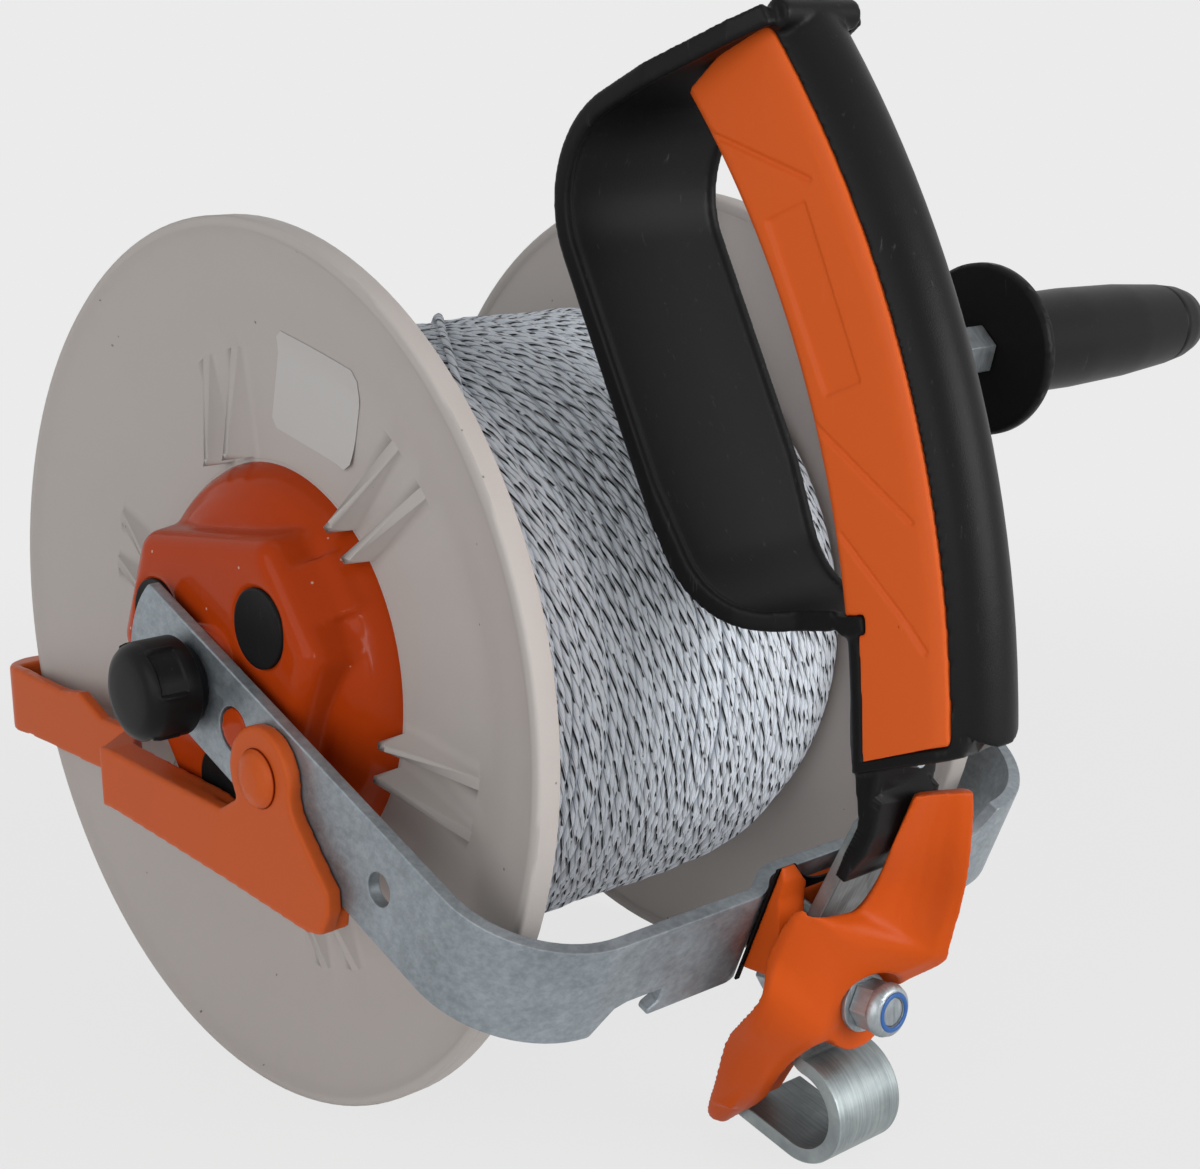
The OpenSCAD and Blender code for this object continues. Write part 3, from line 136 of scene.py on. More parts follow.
class Wiring:
    """Short ways to add and join nodes in one tree."""

    def __init__(self, tree):
        self.tree = tree

    def add(self, kind, **settings):
        """A new node with its settings."""
        made = self.tree.nodes.new(kind)
        for key, value in settings.items():
            setattr(made, key, value)
        return made

    def join(self, source, target):
        """A link from an output to an input."""
        self.tree.links.new(source, target)

    def feed(self, target, value):
        """Gives an input a link or a plain value."""
        if hasattr(value, "is_output"):
            self.join(value, target)
        else:
            target.default_value = value

    def math(self, operation, first, second=0.0, third=0.0):
        """One sum, with links or numbers as its terms."""
        made = self.add("ShaderNodeMath", operation=operation)
        for socket, value in zip(made.inputs, (first, second, third)):
            self.feed(socket, value)
        return made.outputs[0]

    def times(self, first, second):
        """The product of two values."""
        return self.math("MULTIPLY", first, second)

    def swing(self, value, size, middle):
        """A texture value of 0 to 1, as a swing of a given size round a middle."""
        return self.math("MULTIPLY_ADD", self.math("SUBTRACT", value, HALFWAY), size, middle)

    def mix(self, factor, first, second, blend="MIX"):
        """A blend of two colours."""
        made = self.add("ShaderNodeMix", data_type="RGBA", blend_type=blend)
        self.feed(made.inputs[MIX_FACTOR], factor)
        self.feed(made.inputs[MIX_FIRST], first)
        self.feed(made.inputs[MIX_SECOND], second)
        return made.outputs[MIX_RESULT]

    def span(self, value, low, high, to_low=0.0, to_high=1.0):
        """A smooth step from to_low to to_high, as value goes from low to high."""
        made = self.add("ShaderNodeMapRange", interpolation_type="SMOOTHSTEP")
        for socket, number in zip(made.inputs, (value, low, high, to_low, to_high)):
            self.feed(socket, number)
        return made.outputs[0]

    def noise(self, where, scale, detail=3.0, rough=0.55):
        """Cloudy noise."""
        made = self.add("ShaderNodeTexNoise")
        self.join(where, made.inputs["Vector"])
        self.feed(made.inputs["Scale"], scale)
        made.inputs["Detail"].default_value = detail
        made.inputs["Roughness"].default_value = rough
        return made.outputs["Fac"]

    def cells(self, where, scale):
        """Voronoi cells: the distance from each centre, and the three channels of each cell's colour."""
        made = self.add("ShaderNodeTexVoronoi")
        self.join(where, made.inputs["Vector"])
        made.inputs["Scale"].default_value = scale
        channels = self.add("ShaderNodeSeparateColor")
        self.join(made.outputs["Color"], channels.inputs[0])
        return made.outputs["Distance"], channels.outputs

    def place(self):
        """The point on the object."""
        return self.add("ShaderNodeTexCoord").outputs["Object"]

    def turned_place(self, turn, scale):
        """The point on the object, turned and stretched."""
        made = self.add("ShaderNodeMapping")
        made.inputs["Rotation"].default_value = turn
        made.inputs["Scale"].default_value = scale
        self.join(self.place(), made.inputs["Vector"])
        return made.outputs[0]


TONE_SCALE = 14.0
RUBBED_SCALE = 420.0
RUBBED_EDGE = (0.62, 0.8)
RUBBED_PALE = (0.6, 0.6, 0.6, 1)
RUBBED_TURN = (0.5, 0.3, 0.2)
RUBBED_STRETCH = (1.0, 1.0, 0.12)
RUBBED_FADE = 0.25
RUBBED_ROUGH = 0.2
RUBBED_DEPTH = -0.3
GRAIN_SHARE = 0.6
GLOSS_SWING = 0.16
SPECK_SCALE = 230.0
SPECK_EDGE = (0.13, 0.07)
SPECK_CHANCE = (0.93, 0.95)


def moulded_group():
    """Moulded plastic: slow tone drift, fine grain, faint handling marks and specks of dirt."""
    tree, entry, leave = start_group(
        "moulded_plastic",
        [("Colour", COLOUR, (0.5, 0.5, 0.5, 1)), ("Drift", VALUE, 0.1), ("Grain Scale", VALUE, 1800.0),
         ("Gloss", VALUE, 0.4), ("Marks", VALUE, 0.2), ("Specks", VALUE, 0.0),
         ("Speck Colour", COLOUR, (0.05, 0.045, 0.04, 1))],
        [("Colour", COLOUR), ("Roughness", VALUE), ("Height", VALUE)])
    w = Wiring(tree)
    where = w.place()
    slow = w.noise(where, TONE_SCALE)
    grain = w.noise(where, entry["Grain Scale"], detail=2.0)
    rubbed = w.noise(w.turned_place(RUBBED_TURN, RUBBED_STRETCH), RUBBED_SCALE, detail=4.0, rough=0.7)
    marked = w.times(w.span(rubbed, *RUBBED_EDGE), entry["Marks"])
    tone = w.swing(slow, entry["Drift"], 1.0)
    tone = w.swing(grain, w.times(entry["Drift"], GRAIN_SHARE), tone)
    toned = w.mix(1.0, entry["Colour"], tone, "MULTIPLY")
    pale = w.mix(w.times(marked, RUBBED_FADE), toned, RUBBED_PALE)
    off_centre, chance = w.cells(where, SPECK_SCALE)
    speck = w.times(w.span(off_centre, *SPECK_EDGE), w.span(chance[0], *SPECK_CHANCE))
    w.join(w.mix(w.times(speck, entry["Specks"]), pale, entry["Speck Colour"]), leave["Colour"])
    rough = w.swing(slow, GLOSS_SWING, entry["Gloss"])
    w.join(w.math("MULTIPLY_ADD", marked, RUBBED_ROUGH, rough), leave["Roughness"])
    w.join(w.math("MULTIPLY_ADD", marked, RUBBED_DEPTH, grain), leave["Height"])
    return tree


SPANGLE_SCALE = 260.0
SCRATCH_SCALE = 1100.0
CLOUD_EDGE = (0.3, 0.7)
ROLLED_EDGE = (0.25, 0.75)
CLOUD_SHARE = 0.4
FLAKE_SHARE = 0.12
ROLLED_SHARE = 0.5
CLOUD_ROUGH = 0.3
FLAKE_ROUGH = 0.1
SCRATCH_DEPTH = 0.4


def zinc_group():
    """Plated steel: cloudy spangle, rolling lines and small scratches."""
    tree, entry, leave = start_group(
        "zinc_plate",
        [("Pale", COLOUR, (0.6, 0.6, 0.6, 1)), ("Dark", COLOUR, (0.4, 0.4, 0.4, 1)),
         ("Cloud Scale", VALUE, 60.0), ("Gloss", VALUE, 0.35), ("Rolled", PLACE, (0.0, 0.0, 0.0))],
        [("Colour", COLOUR), ("Roughness", VALUE), ("Height", VALUE)])
    w = Wiring(tree)
    where = w.place()
    cloud = w.noise(where, entry["Cloud Scale"], detail=5.0, rough=0.62)
    scratches = w.noise(where, SCRATCH_SCALE, rough=0.6)
    flake = w.cells(where, SPANGLE_SCALE)[1]
    lines = w.noise(entry["Rolled"], scale=1.0, detail=4.0, rough=0.65)
    blend = w.times(w.span(lines, *ROLLED_EDGE), ROLLED_SHARE)
    blend = w.math("MULTIPLY_ADD", flake[0], FLAKE_SHARE, blend)
    blend = w.math("MULTIPLY_ADD", w.span(cloud, *CLOUD_EDGE), CLOUD_SHARE, blend)
    w.join(w.mix(blend, entry["Dark"], entry["Pale"]), leave["Colour"])
    rough = w.swing(cloud, CLOUD_ROUGH, entry["Gloss"])
    w.join(w.math("MULTIPLY_ADD", flake[1], FLAKE_ROUGH, rough), leave["Roughness"])
    w.join(w.math("MULTIPLY_ADD", scratches, SCRATCH_DEPTH, lines), leave["Height"])
    return tree


PLIES = 3.0
HAIRS = 12.0
FILAMENTS = 2.0
FILAMENT_EDGE = (0.12, 0.06)
SURFACING_SCALE = 130.0
SURFACING_GATE = (0.4, 0.47)
# Painted shade: the grooves between the plies are darkened towards this colour, by this share.
GROOVE_SHADE_COLOUR = (0.1, 0.11, 0.125, 1)
GROOVE_SHADE_EDGE = (0.5, 0.0)
GROOVE_SHADE_SHARE = 0.65
HAIR_DEPTH = 0.3


def strand_group():
    """Twisted fence wire: pale plies laid at a slant, with painted shade in the grooves between them, and dark
    metal filaments that surface here and there.
    """
    tree, entry, leave = start_group(
        "twisted_wire",
        [("Pale", COLOUR, (0.4, 0.42, 0.45, 1)), ("Dark", COLOUR, (0.01, 0.01, 0.012, 1)),
         ("Lay", VALUE, 55.0)],
        [("Colour", COLOUR), ("Height", VALUE)])
    w = Wiring(tree)
    flat = w.add("ShaderNodeUVMap", uv_map="wire_lay")
    parts = w.add("ShaderNodeSeparateXYZ")
    w.join(flat.outputs[0], parts.inputs[0])
    along, around = parts.outputs[0], parts.outputs[1]
    phase = w.math("MULTIPLY_ADD", along, entry["Lay"], around)

    def step(count):
        """Place within one of the strips that the strand's girth is shared into."""
        return w.math("FRACT", w.times(phase, count))

    def hump(count):
        """A round ridge on each strip."""
        return w.math("SINE", w.times(step(count), math.pi))

    ridge = hump(PLIES)
    off_filament = w.math("ABSOLUTE", w.math("SUBTRACT", step(FILAMENTS), HALFWAY))
    surfacing = w.add("ShaderNodeTexNoise", noise_dimensions="1D")
    w.join(w.times(along, SURFACING_SCALE), surfacing.inputs["W"])
    surfacing.inputs["Scale"].default_value = 1.0
    surfacing.inputs["Detail"].default_value = 1.0
    fleck = w.times(w.span(off_filament, *FILAMENT_EDGE), w.span(surfacing.outputs["Fac"], *SURFACING_GATE))
    # Painted shade: the wire's colour is darkened in the grooves between the plies.
    groove_shade = w.times(w.span(ridge, *GROOVE_SHADE_EDGE), GROOVE_SHADE_SHARE)
    shade = w.mix(groove_shade, entry["Pale"], GROOVE_SHADE_COLOUR)
    w.join(w.mix(fleck, shade, entry["Dark"]), leave["Colour"])
    w.join(w.math("MULTIPLY_ADD", hump(HAIRS), HAIR_DEPTH, ridge), leave["Height"])
    return tree


GROUPS = {"moulded": moulded_group(), "zinc": zinc_group(), "strand": strand_group()}

# Finishes

DIRT = linear(62, 56, 52)
DUST = linear(215, 190, 175)
PLASTIC_BUMP_DEPTH = 0.2
ZINC_BUMP, ZINC_BUMP_DEPTH = 0.25, 0.1
WIRE_BUMP, WIRE_BUMP_DEPTH = 0.8, 0.4
WIRE_ROUGH, WIRE_SPECULAR = 0.6, 0.25
ZINC_METALLIC = 0.7


def start_material(name):
    """A new material with its wiring and its shader."""
    made = bpy.data.materials.new(name)
    made.use_nodes = True
    shader = made.node_tree.nodes["Principled BSDF"]
    return made, Wiring(made.node_tree), shader


def add_group(w, group, values):
    """A shader group in a material, with the values of its inputs."""
    body = w.add("ShaderNodeGroup", node_tree=GROUPS[group])
    for socket, value in values.items():
        body.inputs[socket].default_value = value
    return body


def add_bump(w, shader, height, strength, depth):
    """Bump from a height, with its depth in millimetres."""
    bump = w.add("ShaderNodeBump")
    bump.inputs["Strength"].default_value = strength
    bump.inputs["Distance"].default_value = depth * MM
    w.join(height, bump.inputs["Height"])
    w.join(bump.outputs[0], shader.inputs["Normal"])


def plastic(name, colour, gloss, drift, grain, marks, bump, specular=0.3, specks=0.0, speck_colour=DIRT):
    """Moulded plastic or rubber."""
    made, w, shader = start_material(name)
    body = add_group(w, "moulded", {
        "Colour": colour, "Drift": drift, "Grain Scale": grain, "Gloss": gloss, "Marks": marks,
        "Specks": specks, "Speck Colour": speck_colour})
    w.join(body.outputs["Colour"], shader.inputs["Base Color"])
    w.join(body.outputs["Roughness"], shader.inputs["Roughness"])
    shader.inputs["Specular IOR Level"].default_value = specular
    add_bump(w, shader, body.outputs["Height"], bump, PLASTIC_BUMP_DEPTH)
    return made


def plated(name, pale, dark, gloss, cloud, rolled):
    """Plated or turned metal, whose rolling lines have a turn and a stretch."""
    made, w, shader = start_material(name)
    body = add_group(w, "zinc", {"Pale": pale, "Dark": dark, "Gloss": gloss, "Cloud Scale": cloud})
    w.join(w.turned_place(*rolled), body.inputs["Rolled"])
    w.join(body.outputs["Colour"], shader.inputs["Base Color"])
    w.join(body.outputs["Roughness"], shader.inputs["Roughness"])
    shader.inputs["Metallic"].default_value = ZINC_METALLIC
    add_bump(w, shader, body.outputs["Height"], ZINC_BUMP, ZINC_BUMP_DEPTH)
    return made


def wire_material(name):
    """Pale fence wire with dark filaments."""
    made, w, shader = start_material(name)
    body = add_group(w, "strand", {"Pale": linear(224, 230, 238), "Dark": linear(22, 22, 24)})
    w.join(body.outputs["Colour"], shader.inputs["Base Color"])
    shader.inputs["Roughness"].default_value = WIRE_ROUGH
    shader.inputs["Specular IOR Level"].default_value = WIRE_SPECULAR
    add_bump(w, shader, body.outputs["Height"], WIRE_BUMP, WIRE_BUMP_DEPTH)
    return made


def satin_orange(name, colour, specular):
    """The orange of the handle, the latch and the lever."""
    return plastic(name, colour, gloss=0.36, drift=0.08, grain=1700.0, marks=0.12, bump=0.08,
                   specular=specular)


SANDED = ((-ARM_SLOPE, 0, 0), (420, 420, 560))
ALONG_HOOK = ((0, 0, 0), (1400, 60, 60))
ROUND_AXLE = ((0, 0, 0), (900, 90, 90))
FINISH = {
    "zinc": plated("zinc_plated", linear(178, 185, 188), linear(120, 127, 132),
                   gloss=0.36, cloud=90.0, rolled=ROUND_AXLE),
    "zinc_yoke": plated("zinc_flat_bar", linear(160, 168, 174), linear(116, 124, 129),
                        gloss=0.42, cloud=30.0, rolled=SANDED),
    "zinc_hook": plated("zinc_hook_bar", linear(160, 168, 168), linear(104, 112, 115),
                        gloss=0.38, cloud=40.0, rolled=ALONG_HOOK),
    "steel": plated("turned_steel", linear(175, 178, 182), linear(110, 114, 118),
                    gloss=0.3, cloud=90.0, rolled=ROUND_AXLE),
    "bush_bronze": plated("plain_bronze", linear(176, 140, 90), linear(120, 92, 55),
                          gloss=0.35, cloud=80.0, rolled=ROUND_AXLE),
    "black_plastic": plastic("black_moulded", linear(21, 21, 22), gloss=0.4, drift=0.25, grain=2200.0,
                             marks=0.25, bump=0.2, specular=0.1),
    "black_rubber": plastic("black_rubber", linear(15, 15, 16), gloss=0.4, drift=0.2, grain=1600.0,
                            marks=0.15, bump=0.2, specular=0.07),
    "orange_plastic": satin_orange("orange_satin", linear(214, 93, 36), specular=0.12),
    "orange_latch": satin_orange("orange_latch", linear(189, 76, 21), specular=0.08),
    "orange_lever": satin_orange("orange_lever", linear(191, 85, 36), specular=0.1),
    "orange_gloss": plastic("orange_gloss", linear(172, 59, 14), gloss=0.15, drift=0.06, grain=900.0,
                            marks=0.08, bump=0.03, specular=0.08, specks=0.6, speck_colour=DUST),
    "gear_plastic": plastic("natural_nylon", linear(196, 190, 176), gloss=0.45, drift=0.1, grain=1500.0,
                            marks=0.1, bump=0.15),
    "grey_plastic": plastic("grey_satin", linear(177, 171, 167), gloss=0.5, drift=0.07, grain=1500.0,
                            marks=0.1, bump=0.06, specular=0.15, specks=0.7),
    "label": plastic("blank_label", linear(186, 184, 182), gloss=0.4, drift=0.03, grain=2600.0,
                     marks=0.05, bump=0.05, specular=0.15),
    "nylon_blue": plastic("blue_nylon", linear(42, 88, 150), gloss=0.35, drift=0.1, grain=1500.0,
                          marks=0.1, bump=0.1),
    "wire": wire_material("fence_wire"),
}


def dress(piece, finish):
    """Gives a piece one finish all over."""
    piece.data.materials.clear()
    piece.data.materials.append(FINISH[finish])


# Ways of modelling

JOINED_WITHIN = 0.004
FLAT_WITHIN = math.radians(0.6)


def take_only(piece):
    """Leaves one object selected and active."""
    bpy.ops.object.select_all(action="DESELECT")
    piece.select_set(True)
    bpy.context.view_layer.objects.active = piece


def clear_picks(piece, kind):
    """Leaves nothing selected in the mesh, ready to pick its VERT or FACE elements."""
    take_only(piece)
    bpy.ops.object.mode_set(mode="EDIT")
    bpy.ops.mesh.select_mode(type=kind)
    bpy.ops.mesh.select_all(action="DESELECT")
    bpy.ops.object.mode_set(mode="OBJECT")


def modified(piece, kind, **settings):
    """Adds a modifier and applies it."""
    take_only(piece)
    made = piece.modifiers.new(kind.lower(), kind)
    for key, value in settings.items():
        setattr(made, key, value)
    bpy.ops.object.modifier_apply(modifier=made.name)


def shade_by_angle(piece, degrees):
    """Smooth shading, apart from edges sharper than an angle."""
    take_only(piece)
    bpy.ops.object.shade_smooth_by_angle(angle=math.radians(degrees))


def merged_copy(node, whole_faces=True):
    """A copy of a solid with its corners joined, and its flat faces made whole."""
    piece = bpy.data.objects.new("soft_" + node, nodes[node].data.copy())
    bpy.context.scene.collection.objects.link(piece)
    take_only(piece)
    bpy.ops.object.mode_set(mode="EDIT")
    bpy.ops.mesh.select_all(action="SELECT")
    bpy.ops.mesh.remove_doubles(threshold=JOINED_WITHIN * MM)
    if whole_faces:
        bpy.ops.mesh.dissolve_limited(angle_limit=FLAT_WITHIN)
    bpy.ops.object.mode_set(mode="OBJECT")
    return piece


def stand_for(piece, node, finish=None):
    """The piece takes a node's place, body and slot."""
    dress(piece, finish or slot_of_node[node])
    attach(piece, node_body[node])
    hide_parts(node)


# Hook bar, its screws and the plugs of the gear housing

TUCKED_NODES = ("hook_bar", "handle_screws")
BAR_MIDDLE = from_axle(0, -138.2, -63.3)
TUCK_DEPTH, TUCK_NARROW = 2.9, 0.9
TUCK_FROM, TUCK_TO = 22.0, 27.0
UPPER_TUCK = 3.5
KINK_FROM, KINK_TO = 44.0, 50.0
PLUG_FACE_X = -101.2


def tuck_hook_bar(piece):
    """Sinks the upper part of the hook bar, and its screws, into the foot of the handle."""
    for vertex in piece.data.vertices:
        height = (vertex.co - BAR_MIDDLE).dot(ARM_UP) / MM
        lower = ramp(height, TUCK_FROM, TUCK_TO)
        upper = ramp(height, KINK_FROM, KINK_TO)
        vertex.co += ARM_AHEAD * (TUCK_DEPTH * lower + UPPER_TUCK * upper) * MM
        vertex.co.x = between(AXLE.x, vertex.co.x, between(1.0, TUCK_NARROW, lower))


def flush_plugs(piece):
    """Flattens the plugs where they stand out of the housing."""
    face_x = from_axle(PLUG_FACE_X, 0, 0).x
    for vertex in piece.data.vertices:
        vertex.co.x = max(vertex.co.x, face_x)


# Lower end of the grip and foot of the handle

GRIP_NODES = ("handle_core", "handle_inlay_left", "handle_inlay_right")
GRIP_BACK_Y, GRIP_FRONT_Y = -169.4, -200.4
SKIRT_FRONT_Y = -204.4
GRIP_END_AT, GRIP_END_RISE = (-150.0, -15.8), 0.384
INLAY_END_Z, STRETCH_TOP_Z = 3.5, 30.0
INLAY_DROP_BACK, INLAY_DROP_FRONT = 12.6, 0.9
GRIP_DROP_BACK, GRIP_DROP_FRONT = 3.8, 6.2
GUARD_LOW_Z = 10.0
GUARD_TAIL_FROM_Y, GUARD_TAIL_TO_Y = -160.0, -163.5
LEAST_END = 0.5
FOOT_FADE_FROM, FOOT_FADE_TO = 25.0, 5.0
FOOT_GAIN, FOOT_FRONT = 2.5, 11.0
FOOT_FROM, FOOT_TO = 30.0, 38.0
FOOT_BELOW_GRIP = 0.5


def grip_end_height(y):
    """Height of the slanting lower end of the grip's black part."""
    at_y, at_z = GRIP_END_AT
    return at_z + (at_y - y) * GRIP_END_RISE


def grip_drop(y, z):
    """How far a point of the grip's lower end goes down: the end is lower than the solid's, and slants."""
    front = ramp(y, GRIP_BACK_Y, GRIP_FRONT_Y)
    inlay_drop = between(INLAY_DROP_BACK, INLAY_DROP_FRONT, front)
    inlay_drop = between(inlay_drop, GRIP_DROP_FRONT, ramp(y, GRIP_FRONT_Y, SKIRT_FRONT_Y))
    if z >= INLAY_END_Z:
        clear_of_guard = ramp(y, GUARD_TAIL_FROM_Y, GUARD_TAIL_TO_Y) if z > GUARD_LOW_Z else 1.0
        return inlay_drop * ramp(z, STRETCH_TOP_Z, INLAY_END_Z) * clear_of_guard
    end = grip_end_height(y)
    below = ramp(z, INLAY_END_Z, min(end, INLAY_END_Z - LEAST_END))
    end_drop = between(GRIP_DROP_BACK, GRIP_DROP_FRONT, front)
    foot = ramp(z, end - FOOT_FADE_FROM, end - FOOT_FADE_TO)
    return between(inlay_drop, end_drop, below) * foot


def lower_grip_end(piece):
    """Brings the lower end of the grip down."""
    for vertex in piece.data.vertices:
        off = (vertex.co - AXLE) / MM
        if off.z < STRETCH_TOP_Z:
            vertex.co.z -= grip_drop(off.y, off.z) * MM


def thicken_foot(piece):
    """Brings the front of the handle's foot forward, up to the lower end of the grip."""
    for vertex in piece.data.vertices:
        off = (vertex.co - AXLE) / MM
        from_bar = (vertex.co - BAR_MIDDLE) / MM
        under_grip = off.z < grip_end_height(off.y) - FOOT_BELOW_GRIP
        if under_grip and from_bar.dot(ARM_AHEAD) > FOOT_FRONT:
            vertex.co += ARM_AHEAD * FOOT_GAIN * MM * ramp(from_bar.dot(ARM_UP), FOOT_FROM, FOOT_TO)


# Foot of the gear housing

FLARE_GAIN = 3.2
FLARE_FROM_X, FLARE_TO_X = -89.0, -77.0
FLARE_FROM_R, FLARE_TO_R = 50.0, 54.0


def flare_housing(piece):
    """Widens the foot of the housing until it nearly fills the hole of the flange."""
    for vertex in piece.data.vertices:
        off = (vertex.co - AXLE) / MM
        radius = math.hypot(off.y, off.z)
        if radius > FLARE_FROM_R:
            share = ramp(off.x, FLARE_FROM_X, FLARE_TO_X) * ramp(radius, FLARE_FROM_R, FLARE_TO_R)
            wide = 1 + FLARE_GAIN * share / radius
            vertex.co.y = AXLE.y + off.y * MM * wide
            vertex.co.z = AXLE.z + off.z * MM * wide


# Rounded copies: width of the rounded edge, 0 for none, and a finish where it isn't the slot's own

ROUNDED = {
    "yoke_frame": (0.6, "zinc_yoke"), "hook_bar": (0.6, "zinc_hook"), "latch_washer": (0.3, None),
    "lock_nut": (0.3, None), "latch_bolt": (0.4, None), "housing_plugs": (0.7, None),
    "lever_pin": (0, "orange_lever"), "near_flange": (0, None), "far_flange": (0, None),
    "crank_arm": (0.6, None), "crank_nut": (0.5, None), "crank_pin": (0.4, None), "crank_grip": (0, None),
    "grip_cap": (0, None), "clamp_gasket": (0.2, None), "handle_screws": (0.3, None),
    "frame_rivets": (0.4, None),
}
BEVEL_STEPS = 2
BEVEL_ANGLE, SHARP_ANGLE = 38, 32

# Moulded copies: grain of the new mesh, smoothing passes, share of its faces kept, and a finish

MOULDED = {
    "latch": (0.5, 24, 0.6, "orange_latch"), "clamp_saddle": (0.6, 8, 1, "orange_latch"),
    "brake_lever": (0.7, 8, 0.8, "orange_lever"), "gear_housing": (0.9, 10, 0.8, None),
    "handle_core": (0.65, 10, 0.4, None), "handle_inlay_left": (0.5, 6, 0.4, None),
    "handle_inlay_right": (0.5, 6, 0.4, None),
}
SMOOTHING = 0.5


def round_edges(node, width, finish):
    """Stands a copy with its sharp edges rounded in a solid's place."""
    piece = merged_copy(node, whole_faces=width > 0)
    if width:
        modified(piece, "BEVEL", width=width * MM, segments=BEVEL_STEPS, limit_method="ANGLE",
                 angle_limit=math.radians(BEVEL_ANGLE), use_clamp_overlap=False)
    shade_by_angle(piece, SHARP_ANGLE)
    modified(piece, "WEIGHTED_NORMAL", keep_sharp=True)
    if node in TUCKED_NODES:
        tuck_hook_bar(piece)
    if node == "housing_plugs":
        flush_plugs(piece)
    stand_for(piece, node, finish)


def mould(node, grain, passes, kept, finish):
    """Stands a copy with soft moulded corners in a solid's place."""
    piece = merged_copy(node)
    modified(piece, "REMESH", mode="VOXEL", voxel_size=grain * MM)
    modified(piece, "SMOOTH", factor=SMOOTHING, iterations=passes)
    if kept < 1:
        modified(piece, "DECIMATE", ratio=kept)
    if node == "gear_housing":
        flare_housing(piece)
    if node == "handle_core":
        thicken_foot(piece)
    if node in GRIP_NODES:
        lower_grip_end(piece)
    take_only(piece)
    bpy.ops.object.shade_smooth()
    stand_for(piece, node, finish)


# Winding

STRAND_R = 1.24
STRAND_SIDES = 8
RINGS_PER_TURN = 72
WOUND_R = 92.0
FAR_TAPER_X, FAR_END_X = 45.0, 74.0
TAPER_SLOPE, TAPER_CURVE = 2.0, 7.5
SWAY_RATE, SWAY_DRIFT = 0.37, 0.11
BUMP_RISE, BUMP_RATE = 0.25, 0.73
UNDER_RUN = {"x_from": -72, "x_to": 71.5, "turns": 60, "lift": -1.0, "start_angle": 0.0, "sway": 0.4}
BACK_RUN = {"x_from": 71, "x_to": -71.5, "turns": 60, "lift": 0.1, "start_angle": 1.1, "sway": 0.8}
STEEP_RUN = {"x_from": -70, "x_to": 66, "turns": 12, "lift": 0.9, "start_angle": 2.3, "sway": 2.4}
LOOSE_RINGS = 40
LOOSE_FROM, LOOSE_TO = math.radians(58), math.radians(147)
LOOSE_FROM_X, LOOSE_TO_X = 20, -73
LOOSE_SWAY, LOOSE_SWAY_RATE = 1.6, 9.0
LOOSE_RISE, LOOSE_RISE_POWER = 3.4, 0.6
CROSSING_RISE, CROSSING_AT, CROSSING_WIDE = 0.9, 0.39, 0.05


def round_spool(x, radius, angle):
    """A point on the winding."""
    return Vector((x, radius * math.cos(angle), radius * math.sin(angle)))


def wound_radius(x):
    """Radius of the wound wire along the spool."""
    if x > FAR_TAPER_X:
        fall = (x - FAR_TAPER_X) / (FAR_END_X - FAR_TAPER_X)
        return WOUND_R - TAPER_CURVE * fall * fall - TAPER_SLOPE * fall
    return WOUND_R


def strand_path(x_from, x_to, turns, lift, start_angle, sway):
    """Centre points of one run of wire, from one side of the spool to the other."""
    count = int(turns * RINGS_PER_TURN)
    path = []
    for i in range(count + 1):
        share = i / count
        angle = start_angle + share * turns * 2 * math.pi
        astray = sway * math.sin(angle * SWAY_RATE + start_angle) * math.sin(angle * SWAY_DRIFT)
        x = between(x_from, x_to, share) + astray
        radius = wound_radius(x) + lift + BUMP_RISE * math.sin(angle * BUMP_RATE)
        path.append(round_spool(x, radius, angle))
    return path


def loose_path():
    """The run of wire that crosses the others on its way to the near flange."""
    path = []
    for i in range(LOOSE_RINGS + 1):
        share = i / LOOSE_RINGS
        angle = between(LOOSE_FROM, LOOSE_TO, share)
        x = between(LOOSE_FROM_X, LOOSE_TO_X, share) + LOOSE_SWAY * math.sin(share * LOOSE_SWAY_RATE)
        rise = LOOSE_RISE * math.sin(math.pi * share) ** LOOSE_RISE_POWER
        crossing = CROSSING_RISE * math.exp(-((share - CROSSING_AT) / CROSSING_WIDE) ** 2)
        path.append(round_spool(x, WOUND_R + rise + crossing, angle))
    return path


def tube_ring(shape, path, i):
    """The vertices round one point of a strand's path."""
    ahead = path[min(i + 1, len(path) - 1)] - path[max(i - 1, 0)]
    ahead.normalize()
    out = Vector((0, path[i].y, path[i].z)).normalized()
    across = ahead.cross(out).normalized()
    out = across.cross(ahead).normalized()
    ring = []
    for k in range(STRAND_SIDES):
        turn = 2 * math.pi * k / STRAND_SIDES
        off = STRAND_R * (math.cos(turn) * out + math.sin(turn) * across)
        ring.append(shape.verts.new(from_axle(*(path[i] + off))))
    return ring


def add_strand(shape, lay, path):
    """One closed tube along a path, with a map that runs along and around it."""
    rings = [tube_ring(shape, path, i) for i in range(len(path))]
    runs = [0.0]
    for i in range(1, len(path)):
        runs.append(runs[-1] + (path[i] - path[i - 1]).length * MM)
    for i in range(len(rings) - 1):
        for k in range(STRAND_SIDES):
            n = (k + 1) % STRAND_SIDES
            face = shape.faces.new((rings[i][k], rings[i + 1][k], rings[i + 1][n], rings[i][n]))
            marks = ((runs[i], k), (runs[i + 1], k), (runs[i + 1], k + 1), (runs[i], k + 1))
            for loop, (along, step) in zip(face.loops, marks):
                loop[lay].uv = (along, step / STRAND_SIDES)
    shape.faces.new(rings[0])
    shape.faces.new(list(reversed(rings[-1])))


def wound_wire(name, node, paths):
    """One mesh of strands that stands for a solid of the winding."""
    shape = bmesh.new()
    lay = shape.loops.layers.uv.new("wire_lay")
    for path in paths:
        add_strand(shape, lay, path)
    bmesh.ops.recalc_face_normals(shape, faces=shape.faces)
    mesh = bpy.data.meshes.new(name)
    shape.to_mesh(mesh)
    shape.free()
    piece = bpy.data.objects.new(name, mesh)
    bpy.context.scene.collection.objects.link(piece)
    for polygon in mesh.polygons:
        polygon.use_smooth = True
    stand_for(piece, node)


